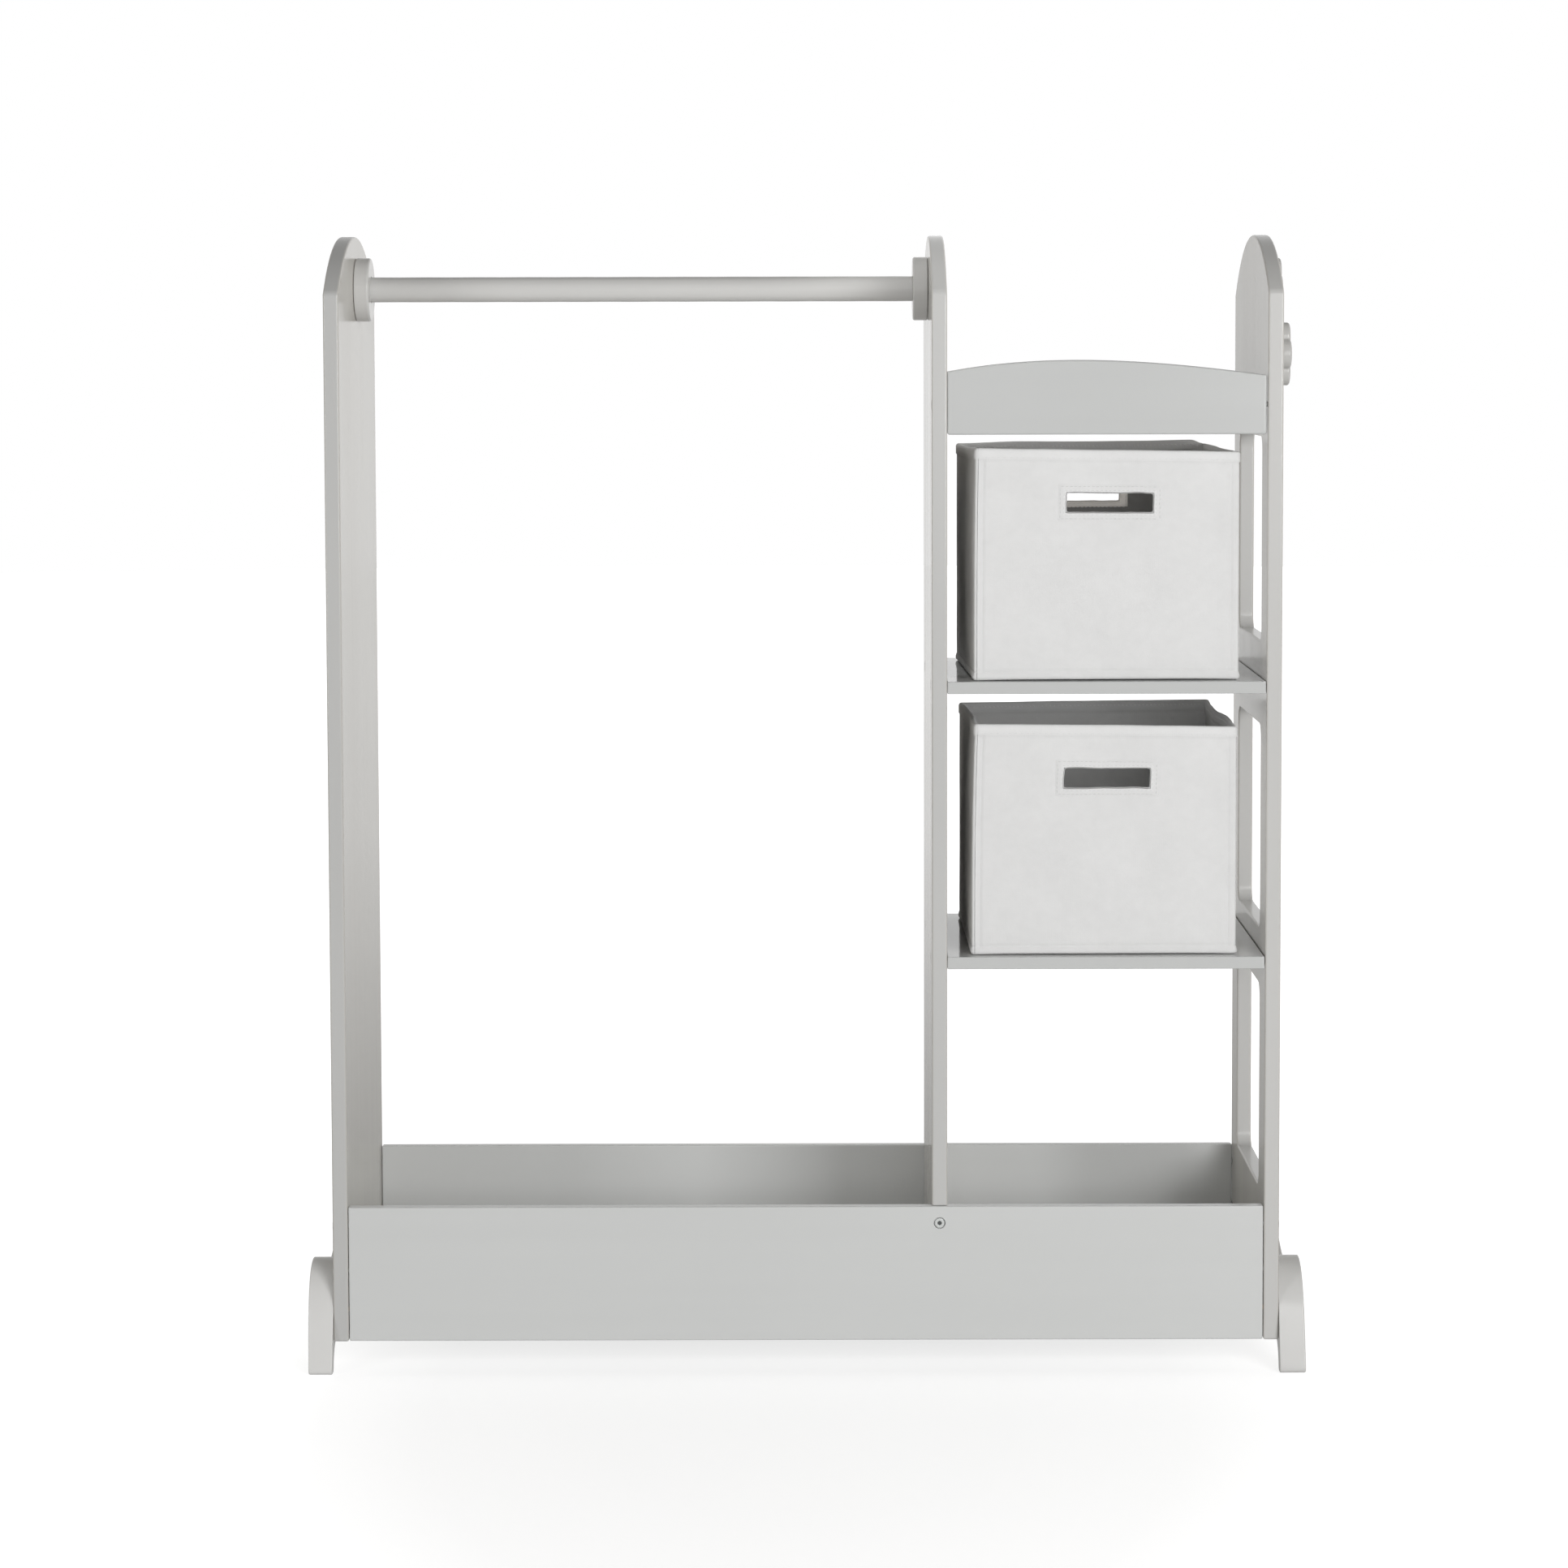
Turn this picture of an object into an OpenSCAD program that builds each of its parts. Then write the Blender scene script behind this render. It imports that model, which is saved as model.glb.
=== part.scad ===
// Child's dress-up storage unit: a hanging bay and a shelf bay between arched
// side panels, over a low tray, with a clothes rod, two fabric bins, a mirror
// on the left outer face and flower pegs on the right outer face.
// Millimetres. +Z up. The origin is the centre of the footprint on the floor,
// +X is to the right seen from the front, and the front faces -Y.

/* [Panels] */
// Width over the outer faces of the two side panels
outer_w = 930; // [880:5:1000]
// Depth of the side panels, front to back
panel_d = 312; // [304:2:330]
// Thickness of the side panels and the divider
panel_t = 15; // [14:0.5:18]
// Height of the lower edge of the side panels above the floor
panel_z = 30; // [26:1:34]
// Height where the straight edges end and the arched top begins
spring_z = 1058; // [1045:1:1066]
// Height of the crown of the arched tops
crown_z = 1117; // [1100:1:1130]
// Left face of the divider, measured from the middle of the unit
divider_x = 124; // [110:1:140]

/* [Window openings in the right panel] */
// Width of each opening, front to back
win_d = 208; // [180:2:220]
// Height of each opening
win_h = 201.5; // [180:0.5:204]
// Radius of the opening corners
win_r = 14; // [8:1:24]
// Lower edges of the three openings
win_z = [173, 431, 715.5]; // [170:0.5:720]

/* [Tray] */
// Height of the tray's front and back boards
tray_h = 133; // [120:1:140]
// Thickness of the tray's front and back boards
tray_t = 12; // [12:0.5:15]
// Thickness of the tray floor
floor_t = 6; // [5:0.5:8]
// Height of the tray floor's underside above the boards' lower edges
floor_up = 8; // [7:1:12]

/* [Shelves and valance] */
// Thickness of the shelves
shelf_t = 12; // [12:0.5:15]
// Depth of the shelves, flush with the front
shelf_d = 300; // [290:1:304]
// Undersides of the lower and the upper shelf
shelf_z = [398.2, 668.3]; // [380:0.1:690]
// Lower edge of the arched valance
valance_z = 920.7; // [915:0.1:930]
// Height of the valance at its ends
valance_end = 57.3; // [50:0.1:60]
// Rise of the valance from its ends to its middle
valance_rise = 13.7; // [8:0.1:20]

/* [Clothes rod] */
// Diameter of the rod
rod_dia = 25; // [22:0.5:30]
// Height of the rod's axis
rod_z = 1064; // [1055:1:1066]
// Diameter of the round flanges at its ends
flange_dia = 63.5; // [55:0.5:70]
// Thickness of the flanges
flange_t = 15; // [14:0.5:18]

/* [Feet] */
// Thickness of each foot, sideways
foot_t = 24; // [22:1:28]
// How far the feet reach ahead of and behind the side panels
foot_out = 15; // [10:1:20]
// Height of the two crowns of a foot
foot_h = 103; // [98:1:106]
// Height of the dip in the middle of a foot
foot_mid = 70; // [64:1:76]
// Height of the arch under a foot
foot_arch = 36; // [33:1:40]

/* [Flower pegs] */
// Thickness of a flower
flower_t = 13.5; // [12:0.5:18]
// Radius of one petal
petal_r = 14.5; // [12:0.5:16]
// Distance from the flower's centre to a petal's centre
petal_off = 17.35; // [15:0.05:19]
// Height of the front and rear flowers
flower_z = 998; // [990:1:1004]
// Height of the middle flower
flower_top_z = 1063; // [1058:1:1066]

/* [Mirror] */
// Width of the mirror
mirror_w = 236; // [200:2:240]
// Thickness of the mirror
mirror_t = 3; // [2.8:0.1:4]
// Lower edge of the mirror
mirror_z0 = 190; // [180:5:260]
// Crown of the mirror's arched top
mirror_z1 = 1030; // [980:5:1032]

/* [Fabric bins] */
// Outer width and depth of a bin
bin_w = 260; // [240:1:262]
// Height of a bin
bin_h = 226; // [210:1:228]
// Thickness of the fabric-covered walls
bin_wall = 4; // [3:0.5:5]
// How far the bins stand behind the front of the unit
bin_back = 15; // [8:1:24]
// Turn of the lower and the upper bin on its shelf, in degrees
bin_turn = [0.7, 2.2]; // [0:0.1:3]
// How far the lower and the upper bin stand left of their bay's middle
bin_left = [2.9, 1.1]; // [0:0.1:4]
// Width of the hand slots
slot_w = 86; // [70:1:100]
// Height of the hand slots
slot_h = 20; // [16:1:26]
// Upper edge of the hand slots below the bin's rim
slot_down = 42; // [36:1:60]

/* [Hidden] */

$fn = 48;

// Derived places
xo = outer_w / 2;                 // outer face of a side panel
xi = xo - panel_t;                // its inner face
yf = -panel_d / 2;                // front plane
yb = panel_d / 2;                 // back plane
arc_h = crown_z - spring_z;
arc_r = (yb * yb + arc_h * arc_h) / (2 * arc_h);
arc_c = crown_z - arc_r;          // height of the arc's centre
dx0 = divider_x;                  // divider, left face
dx1 = divider_x + panel_t;        // divider, right face
tray_z0 = panel_z + 0.6;
tray_z1 = tray_z0 + tray_h;
floor_z0 = tray_z0 + floor_up;
floor_z1 = floor_z0 + floor_t;
groove = 5;                       // how far the floor runs into a groove
fit = 0.1;                        // clearance all round a hidden fitting

// Fittings
bolt_d = 5;                       // shank
bolt_head = 9.5;                  // countersunk head
head_h = 2.6;
bolt_len = 44;
nut_d = 10;                       // barrel nut
nut_len = 9;
nut_in = 22;                      // from the board's end to the nut's axis
dowel_d = 6;
dowel_len = 24;
dowel_panel = 8;                  // length of a dowel inside a panel

// Places of the fittings
tray_bolt_z = [100, 145];
tray_dowel_z = 62;
shelf_bolt_y = [-116, 104];
div_bolt_z = 147;
div_bolt_len = 46;
foot_bolt_y = [-98, 98];
foot_bolt_z = 68;
foot_bolt_len = 32;
valance_mid_z = valance_z + 29;
valance_y = yf + panel_t / 2;

// ---------- helpers ----------

// A point on a cubic curve between p0 and p3
function bez(p0, p1, p2, p3, t) =
    pow(1 - t, 3) * p0 + 3 * pow(1 - t, 2) * t * p1
    + 3 * (1 - t) * t * t * p2 + pow(t, 3) * p3;
function curve(p0, p1, p2, p3, n) = [for (i = [0 : n - 1]) bez(p0, p1, p2, p3, i / n)];

module rod_x(d, len) rotate([0, 90, 0]) cylinder(d = d, h = len);
module rod_y(d, len) rotate([-90, 0, 0]) cylinder(d = d, h = len);

// A countersunk bolt along +X with its head's face at x = 0 and a socket in it
module bolt_x(len) {
    difference() {
        union() {
            rotate([0, 90, 0]) cylinder(d1 = bolt_head, d2 = bolt_d, h = head_h);
            rod_x(bolt_d, len);
        }
        rotate([0, 90, 0]) translate([0, 0, -1]) cylinder(d = 3, h = 2.8, $fn = 6);
    }
}
// The hole that such a bolt passes through
module bolt_hole_x(len) {
    rotate([0, 90, 0]) cylinder(d1 = bolt_head + 2 * fit, d2 = bolt_d + 2 * fit, h = head_h);
    translate([-1, 0, 0]) rod_x(bolt_d + 2 * fit, len + 1);
    rotate([0, 90, 0]) translate([0, 0, -1]) cylinder(d = bolt_head + 2 * fit, h = 1.01);
}
// A barrel nut with its axis along +Z, cross-drilled along X, from z = 0
module barrel_z(len) {
    difference() {
        cylinder(d = nut_d, h = len);
        translate([-nut_d, 0, len / 2]) rod_x(bolt_d + 2 * fit, 2 * nut_d);
        translate([-0.6, -nut_d / 2 + 1.5, -0.01]) cube([1.2, nut_d - 3, 0.9]);
    }
}
// The outline of an arched panel, as a slab from x to x + t
module arched_slab(x, t, z0) {
    translate([x, yf, z0]) cube([t, panel_d, spring_z - z0]);
    intersection() {
        translate([x, 0, arc_c]) rotate([0, 90, 0]) cylinder(r = arc_r, h = t, $fn = 128);
        translate([x, yf, spring_z - 0.5]) cube([t, panel_d, arc_h + 1]);
    }
}
// A rounded window through X
module window(x, t, z, d, h, r) {
    translate([x, -d / 2 + r, z]) cube([t, d - 2 * r, h]);
    translate([x, -d / 2, z + r]) cube([t, d, h - 2 * r]);
    for (y = [-d / 2 + r, d / 2 - r], zz = [z + r, z + h - r])
        translate([x, y, zz]) rod_x(2 * r, t);
}
// Where the tray boards meet both side panels: [y, z]
function tray_bolt_places() = [for (y = [yf + tray_t / 2, yb - tray_t / 2], z = tray_bolt_z) [y, z]];
function tray_dowel_places() = [for (y = [yf + tray_t / 2, yb - tray_t / 2]) [y, tray_dowel_z]];
// Where the shelves meet the divider and the right panel: [y, z]
function shelf_bolt_places() = [for (y = shelf_bolt_y, z = shelf_z) [y, z + shelf_t / 2]];
function shelf_dowel_places() = [for (z = shelf_z) [-6, z + shelf_t / 2]];
// Where the flowers sit: [y, z]
function flower_places() = [[-78, flower_z], [0, flower_top_z], [78, flower_z]];

// ---------- panels ----------

module left_side_panel() color("gainsboro") difference() {
    arched_slab(-xo, panel_t, panel_z);
    for (p = tray_bolt_places()) translate([-xo, p[0], p[1]]) bolt_hole_x(panel_t + 1);
    for (p = tray_dowel_places())
        translate([-xi - dowel_panel - 0.2, p[0], p[1]]) rod_x(dowel_d + 2 * fit, dowel_panel + 1);
    translate([-xo, 0, rod_z]) bolt_hole_x(panel_t + 1);
    for (p = mirror_screw_places())
        translate([-xo - 1, p[0], p[1]]) rod_x(3 + 2 * fit, 12.2);
    for (y = foot_bolt_y) translate([-xi, y, foot_bolt_z]) mirror([1, 0, 0]) bolt_hole_x(panel_t + 1);
    floor_slot(-xi - 3, 3.01);
}

module right_side_panel() color("gainsboro") difference() {
    arched_slab(xi, panel_t, panel_z);
    for (z = win_z) window(xi - 1, panel_t + 2, z, win_d, win_h, win_r);
    for (p = tray_bolt_places()) translate([xo, p[0], p[1]]) mirror([1, 0, 0]) bolt_hole_x(panel_t + 1);
    for (p = tray_dowel_places())
        translate([xi - 1, p[0], p[1]]) rod_x(dowel_d + 2 * fit, dowel_panel + 1.2);
    for (p = shelf_bolt_places()) translate([xo, p[0], p[1]]) mirror([1, 0, 0]) bolt_hole_x(panel_t + 1);
    for (p = shelf_dowel_places())
        translate([xi - 1, p[0], p[1]]) rod_x(dowel_d + 2 * fit, dowel_panel + 1.2);
    translate([xo, valance_y, valance_mid_z]) mirror([1, 0, 0]) bolt_hole_x(panel_t + 1);
    for (p = flower_places())
        translate([xo - 9.2, p[0], p[1]]) rod_x(dowel_d + 2 * fit, 10);
    for (y = foot_bolt_y) translate([xi, y, foot_bolt_z]) bolt_hole_x(panel_t + 1);
    floor_slot(xi - 0.01, 3.01);
}

// The slot in a side panel that holds the end of the tray floor
module floor_slot(x, t)
    translate([x, yf + tray_t - groove - 0.2, floor_z0 - fit]) cube([t, panel_d - 2 * (tray_t - groove) + 0.4, floor_t + 2 * fit]);

module divider_panel() color("gainsboro") difference() {
    arched_slab(dx0, panel_t, floor_z1 + 0.1);
    // stepped over the tray's front and back boards
    translate([dx0 - 1, yf - 1, 0]) cube([panel_t + 2, tray_t + 1, tray_z1]);
    translate([dx0 - 1, yb - tray_t, 0]) cube([panel_t + 2, tray_t + 1, tray_z1]);
    for (p = shelf_bolt_places()) translate([dx0, p[0], p[1]]) bolt_hole_x(panel_t + 1);
    for (p = shelf_dowel_places())
        translate([dx1 - dowel_panel - 0.2, p[0], p[1]]) rod_x(dowel_d + 2 * fit, dowel_panel + 1);
    translate([dx0, valance_y, valance_mid_z]) bolt_hole_x(panel_t + 1);
    translate([dx1, 0, rod_z]) mirror([1, 0, 0]) bolt_hole_x(panel_t + 1);
    // bores for the two bolts through the tray boards, and their barrel nuts
    for (s = [-1, 1]) {
        translate([dx0 + panel_t / 2, 0, div_bolt_z]) scale([1, s, 1])
            translate([0, yb - div_bolt_len - 1, 0]) rod_y(bolt_d + 2 * fit, div_bolt_len);
        translate([dx0 - 1, s * (yb - tray_t - nut_in), div_bolt_z]) rod_x(nut_d + 2 * fit, panel_t / 2 + nut_len / 2 + 1.1);
    }
}

// ---------- tray ----------

module tray_board(s) difference() {
    translate([-xi, s > 0 ? yb - tray_t : yf, tray_z0]) cube([2 * xi, tray_t, tray_h]);
    // groove for the floor
    translate([-xi - 1, s > 0 ? yb - tray_t - 1 : yf + tray_t - groove - 0.2, floor_z0 - fit])
        cube([2 * xi + 2, groove + 1.2, floor_t + 2 * fit]);
    // bolts and dowels at both ends
    for (e = [-1, 1], z = tray_bolt_z) {
        translate([e * xi, s * (yb - tray_t / 2), z]) scale([-e, 1, 1])
            translate([-1, 0, 0]) rod_x(bolt_d + 2 * fit, bolt_len - panel_t + 2);
        // barrel nut bores, from the front board's inner face and the back board's outer face
        translate([e * (xi - nut_in), (s > 0 ? yb : yf + tray_t) + 1, z]) scale([1, -1, 1]) rod_y(nut_d + 2 * fit, tray_t / 2 + nut_len / 2 + 1.1);
    }
    for (e = [-1, 1])
        translate([e * xi, s * (yb - tray_t / 2), tray_dowel_z]) scale([-e, 1, 1])
            translate([-1, 0, 0]) rod_x(dowel_d + 2 * fit, dowel_len - dowel_panel + 1.2);
    // bolt into the divider
    translate([dx0 + panel_t / 2, s * yb, div_bolt_z]) rotate([0, 0, -s * 90]) bolt_hole_x(tray_t + 1);
}
module tray_front_board() color("gainsboro") tray_board(-1);
module tray_back_board() color("gainsboro") tray_board(1);
module tray_floor_board() color("silver")
    translate([-xi - 2.9, yf + tray_t - groove, floor_z0]) cube([2 * xi + 5.8, panel_d - 2 * (tray_t - groove), floor_t]);

// ---------- shelves and valance ----------

module shelf(z) difference() {
    translate([dx1, yf, z]) cube([xi - dx1, shelf_d, shelf_t]);
    for (y = shelf_bolt_y, e = [-1, 1]) {
        x = e > 0 ? xi : dx1;
        translate([x, y, z + shelf_t / 2]) scale([-e, 1, 1]) translate([-1, 0, 0]) rod_x(bolt_d + 2 * fit, bolt_len - panel_t + 2);
        translate([x - e * nut_in, y, z - 1]) cylinder(d = nut_d + 2 * fit, h = shelf_t / 2 + nut_len / 2 + 1.1);
    }
    for (e = [-1, 1])
        translate([e > 0 ? xi : dx1, -6, z + shelf_t / 2]) scale([-e, 1, 1])
            translate([-1, 0, 0]) rod_x(dowel_d + 2 * fit, dowel_len - dowel_panel + 1.2);
}
module lower_shelf() color("gainsboro") shelf(shelf_z[0]);
module upper_shelf() color("gainsboro") shelf(shelf_z[1]);

module valance_board() color("gainsboro") {
    half = (xi - dx1) / 2;
    r = (half * half + valance_rise * valance_rise) / (2 * valance_rise);
    top = valance_z + valance_end + valance_rise;
    difference() {
        intersection() {
            translate([dx1, yf, valance_z]) cube([2 * half, panel_t, valance_end + valance_rise + 1]);
            translate([dx1 + half, yf - 1, top - r]) rod_y_fine(2 * r, panel_t + 2);
        }
        for (e = [-1, 1]) {
            x = e > 0 ? xi : dx1;
            translate([x, valance_y, valance_mid_z]) scale([-e, 1, 1]) translate([-1, 0, 0]) rod_x(bolt_d + 2 * fit, bolt_len - panel_t + 2);
            translate([x - e * nut_in, valance_y - nut_len / 2 - 0.1, valance_mid_z]) rod_y(nut_d + 2 * fit, panel_t);
        }
    }
}
module rod_y_fine(d, len) rotate([-90, 0, 0]) cylinder(d = d, h = len, $fn = 360);

// ---------- feet ----------

// Outline of a foot's front half, from its toe on the floor to the middle:
// a flared leg, a rounded crown, a dip in the middle, and an arch beneath
// Underside runs the other way, so it is turned round before use
function rev(v) = [for (i = [len(v) - 1 : -1 : 0]) v[i]];
function foot_front() = let (m = yb, h = foot_h) concat(
    [[-foot_out + 2.4, 0], [-foot_out + 0.7, 0.7]],
    curve([-foot_out, 2.4], [-5, 0.437 * h], [3, 1.0 * h], [50, h], 14),
    curve([50, h], [66, h], [98, foot_mid], [m, foot_mid], 12));
function foot_under() = concat(
    [[-2, 0], [-0.5, 0.6]],
    curve([0, 2], [4, 0.6 * foot_arch], [22, foot_arch], [64, foot_arch], 12), [[64, foot_arch]]);
function foot_outline() = let (a = foot_front(), b = foot_under()) concat(
    [for (p = a) [p[0] + yf, p[1]]],
    [for (p = rev(a)) [-(p[0] + yf), p[1]]],
    [for (p = b) [-(p[0] + yf), p[1]]],
    [for (p = rev(b)) [p[0] + yf, p[1]]]);

module foot(x) difference() {
    translate([x, 0, 0]) rotate([90, 0, 90]) linear_extrude(height = foot_t) polygon(foot_outline());
    for (y = foot_bolt_y) {
        if (x > 0) translate([x - 1, y, foot_bolt_z]) rod_x(nut_d + 2 * fit, 17);
        else translate([x + foot_t - 16, y, foot_bolt_z]) rod_x(nut_d + 2 * fit, 17);
    }
}
module left_foot() color("gainsboro") foot(-xo - foot_t);
module right_foot() color("gainsboro") foot(xo);

// ---------- clothes rod ----------

module clothes_rod() color("gainsboro") difference() {
    translate([-xi + 3, 0, rod_z]) rod_x(rod_dia, dx0 + xi - 6);
    translate([-xi + 2, 0, rod_z]) rod_x(nut_d + 2 * fit, 16);
    translate([dx0 - 18, 0, rod_z]) rod_x(nut_d + 2 * fit, 16);
}
module flange() difference() {
    rod_x(flange_dia, flange_t);
    translate([2.9, 0, 0]) rod_x(rod_dia + 2 * fit, flange_t);
    translate([-1, 0, 0]) rod_x(bolt_d + 2 * fit, flange_t);
}
module left_rod_flange() color("gainsboro") translate([-xi, 0, rod_z]) flange();
module right_rod_flange() color("gainsboro") translate([dx0, 0, rod_z]) mirror([1, 0, 0]) flange();
module rod_bolts() color("silver") {
    translate([-xo, 0, rod_z]) bolt_x(31);
    translate([dx1, 0, rod_z]) mirror([1, 0, 0]) bolt_x(31);
}
module insert_x(len) difference() {
    rod_x(nut_d, len);
    translate([-1, 0, 0]) rod_x(bolt_d + 2 * fit, len + 2);
}
module rod_insert_nuts() color("silver") {
    translate([-xi + 3, 0, rod_z]) insert_x(14);
    translate([dx0 - 17, 0, rod_z]) insert_x(14);
}

// ---------- flower pegs ----------

// Five round petals round a centre, one petal pointing to the front
module flower(p) translate([xo, p[0], p[1]]) difference() {
    union() {
        rod_x(2 * petal_off, flower_t);
        for (i = [0 : 4])
            translate([0, -petal_off * cos(72 * i), petal_off * sin(72 * i)]) rod_x(2 * petal_r, flower_t);
    }
    translate([-1, 0, 0]) rod_x(dowel_d + 2 * fit, 9.2);
}
module front_flower_peg() color("gainsboro") flower(flower_places()[0]);
module middle_flower_peg() color("gainsboro") flower(flower_places()[1]);
module rear_flower_peg() color("gainsboro") flower(flower_places()[2]);
module peg_dowels() color("burlywood")
    for (p = flower_places()) translate([xo - 9, p[0], p[1]]) rod_x(dowel_d, 17);

// ---------- mirror ----------

function mirror_screw_places() = [for (s = [-1, 1], z = [mirror_z0 + 16, (mirror_z0 + mirror_z1) / 2 - 20, mirror_z1 - 62])
    [s * (mirror_w / 2 - 12), z]];
module side_mirror() color("lightblue") {
    r = 200;
    spring = mirror_z1 - r + sqrt(r * r - mirror_w * mirror_w / 4);
    translate([-xo - mirror_t, 0, 0]) difference() {
        union() {
            translate([0, -mirror_w / 2 + 14, mirror_z0]) cube([mirror_t, mirror_w - 28, 20]);
            translate([0, -mirror_w / 2, mirror_z0 + 14]) cube([mirror_t, mirror_w, spring - mirror_z0 - 14]);
            for (s = [-1, 1]) translate([0, s * (mirror_w / 2 - 14), mirror_z0 + 14]) rod_x(28, mirror_t);
            intersection() {
                translate([0, 0, mirror_z1 - r]) rotate([0, 90, 0]) cylinder(r = r, h = mirror_t, $fn = 128);
                translate([0, -mirror_w / 2, spring - 1]) cube([mirror_t, mirror_w, 60]);
            }
        }
        for (p = mirror_screw_places()) translate([-1, p[0], p[1]]) rod_x(3 + 2 * fit, mirror_t + 2);
    }
}
module mirror_screws() color("silver")
    for (p = mirror_screw_places()) translate([-xo - mirror_t, p[0], p[1]]) {
        rod_x(3, 14);
        intersection() {
            translate([2.83, 0, 0]) sphere(r = 5.03);
            translate([-2.2, 0, 0]) rod_x(8.4, 2.2);
        }
    }

// ---------- fabric bins ----------

bin_x = (dx1 + xi) / 2;
// A bin in its own place: front at y = 0, underside at z = 0, middle at x = 0
module bin_shell() difference() {
    translate([-bin_w / 2, 0, 0]) cube([bin_w, bin_w, bin_h]);
    translate([-bin_w / 2 + bin_wall, bin_wall, bin_wall]) cube([bin_w - 2 * bin_wall, bin_w - 2 * bin_wall, bin_h]);
    translate([-slot_w / 2, -1, bin_h - slot_down - slot_h]) cube([slot_w, bin_w + 2, slot_h]);
}
module bin_base() translate([-bin_w / 2 + bin_wall + 1, bin_wall + 1, bin_wall + 0.05])
    cube([bin_w - 2 * bin_wall - 2, bin_w - 2 * bin_wall - 2, 3]);
module bin_place(i) translate([bin_x - bin_left[i], yf + bin_back + bin_w / 2, shelf_z[i] + shelf_t + 0.3])
    rotate([0, 0, bin_turn[i]]) translate([0, -bin_w / 2, 0]) children();
module upper_bin_shell() color("white") bin_place(1) bin_shell();
module upper_bin_base() color("whitesmoke") bin_place(1) bin_base();
module lower_bin_shell() color("white") bin_place(0) bin_shell();
module lower_bin_base() color("whitesmoke") bin_place(0) bin_base();

// ---------- fittings ----------

module shelf_bolts() color("silver") for (p = shelf_bolt_places()) {
    translate([dx0, p[0], p[1]]) bolt_x(bolt_len);
    translate([xo, p[0], p[1]]) mirror([1, 0, 0]) bolt_x(bolt_len);
}
module shelf_barrel_nuts() color("silver") for (y = shelf_bolt_y, z = shelf_z, x = [dx1 + nut_in, xi - nut_in])
    translate([x, y, z + shelf_t / 2 - nut_len / 2]) barrel_z(nut_len);
module shelf_dowels() color("burlywood") for (p = shelf_dowel_places()) {
    translate([dx1 - dowel_panel, p[0], p[1]]) rod_x(dowel_d, dowel_len);
    translate([xi + dowel_panel - dowel_len, p[0], p[1]]) rod_x(dowel_d, dowel_len);
}
module tray_bolts() color("silver") for (p = tray_bolt_places()) {
    translate([-xo, p[0], p[1]]) bolt_x(bolt_len);
    translate([xo, p[0], p[1]]) mirror([1, 0, 0]) bolt_x(bolt_len);
}
module tray_barrel_nuts() color("silver") for (s = [-1, 1], e = [-1, 1], z = tray_bolt_z)
    translate([e * (xi - nut_in), (s > 0 ? yb : yf + tray_t) - tray_t / 2 + nut_len / 2, z]) scale([1, -1, 1]) rotate([-90, 0, 0]) barrel_z(nut_len);
module tray_dowels() color("burlywood") for (p = tray_dowel_places()) {
    translate([-xi - dowel_panel, p[0], p[1]]) rod_x(dowel_d, dowel_len);
    translate([xi + dowel_panel - dowel_len, p[0], p[1]]) rod_x(dowel_d, dowel_len);
}
module valance_bolts() color("silver") {
    translate([dx0, valance_y, valance_mid_z]) bolt_x(bolt_len);
    translate([xo, valance_y, valance_mid_z]) mirror([1, 0, 0]) bolt_x(bolt_len);
}
module valance_barrel_nuts() color("silver") for (x = [dx1 + nut_in, xi - nut_in])
    translate([x, valance_y - nut_len / 2, valance_mid_z]) rotate([-90, 0, 0]) barrel_z(nut_len);
module divider_bolts() color("silver") for (s = [-1, 1])
    translate([dx0 + panel_t / 2, s * yb, div_bolt_z]) rotate([0, 0, -s * 90]) bolt_x(div_bolt_len);
module divider_barrel_nuts() color("silver") for (s = [-1, 1])
    translate([dx0 + (panel_t - nut_len) / 2, s * (yb - tray_t - nut_in), div_bolt_z]) rotate([0, 90, 0]) rotate([0, 0, 90]) barrel_z(nut_len);
module foot_bolts() color("silver") for (y = foot_bolt_y) {
    translate([-xi, y, foot_bolt_z]) mirror([1, 0, 0]) bolt_x(foot_bolt_len - 2);
    translate([xi, y, foot_bolt_z]) bolt_x(foot_bolt_len - 2);
}
module foot_insert_nuts() color("silver") for (y = foot_bolt_y) {
    translate([-xo - 15, y, foot_bolt_z]) insert_x(15);
    translate([xo, y, foot_bolt_z]) insert_x(15);
}

// ---------- what is drawn ----------

left_side_panel();
right_side_panel();
divider_panel();
tray_front_board();
tray_back_board();
tray_floor_board();
upper_shelf();
lower_shelf();
valance_board();
left_foot();
right_foot();
clothes_rod();
left_rod_flange();
right_rod_flange();
rod_bolts();
rod_insert_nuts();
front_flower_peg();
middle_flower_peg();
rear_flower_peg();
peg_dowels();
side_mirror();
mirror_screws();
upper_bin_shell();
upper_bin_base();
lower_bin_shell();
lower_bin_base();
shelf_bolts();
shelf_barrel_nuts();
shelf_dowels();
tray_bolts();
tray_barrel_nuts();
tray_dowels();
valance_bolts();
valance_barrel_nuts();
divider_bolts();
divider_barrel_nuts();
foot_bolts();
foot_insert_nuts();
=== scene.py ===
import math
import random

import bpy
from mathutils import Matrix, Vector, noise
from mathutils.geometry import tessellate_polygon


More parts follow.
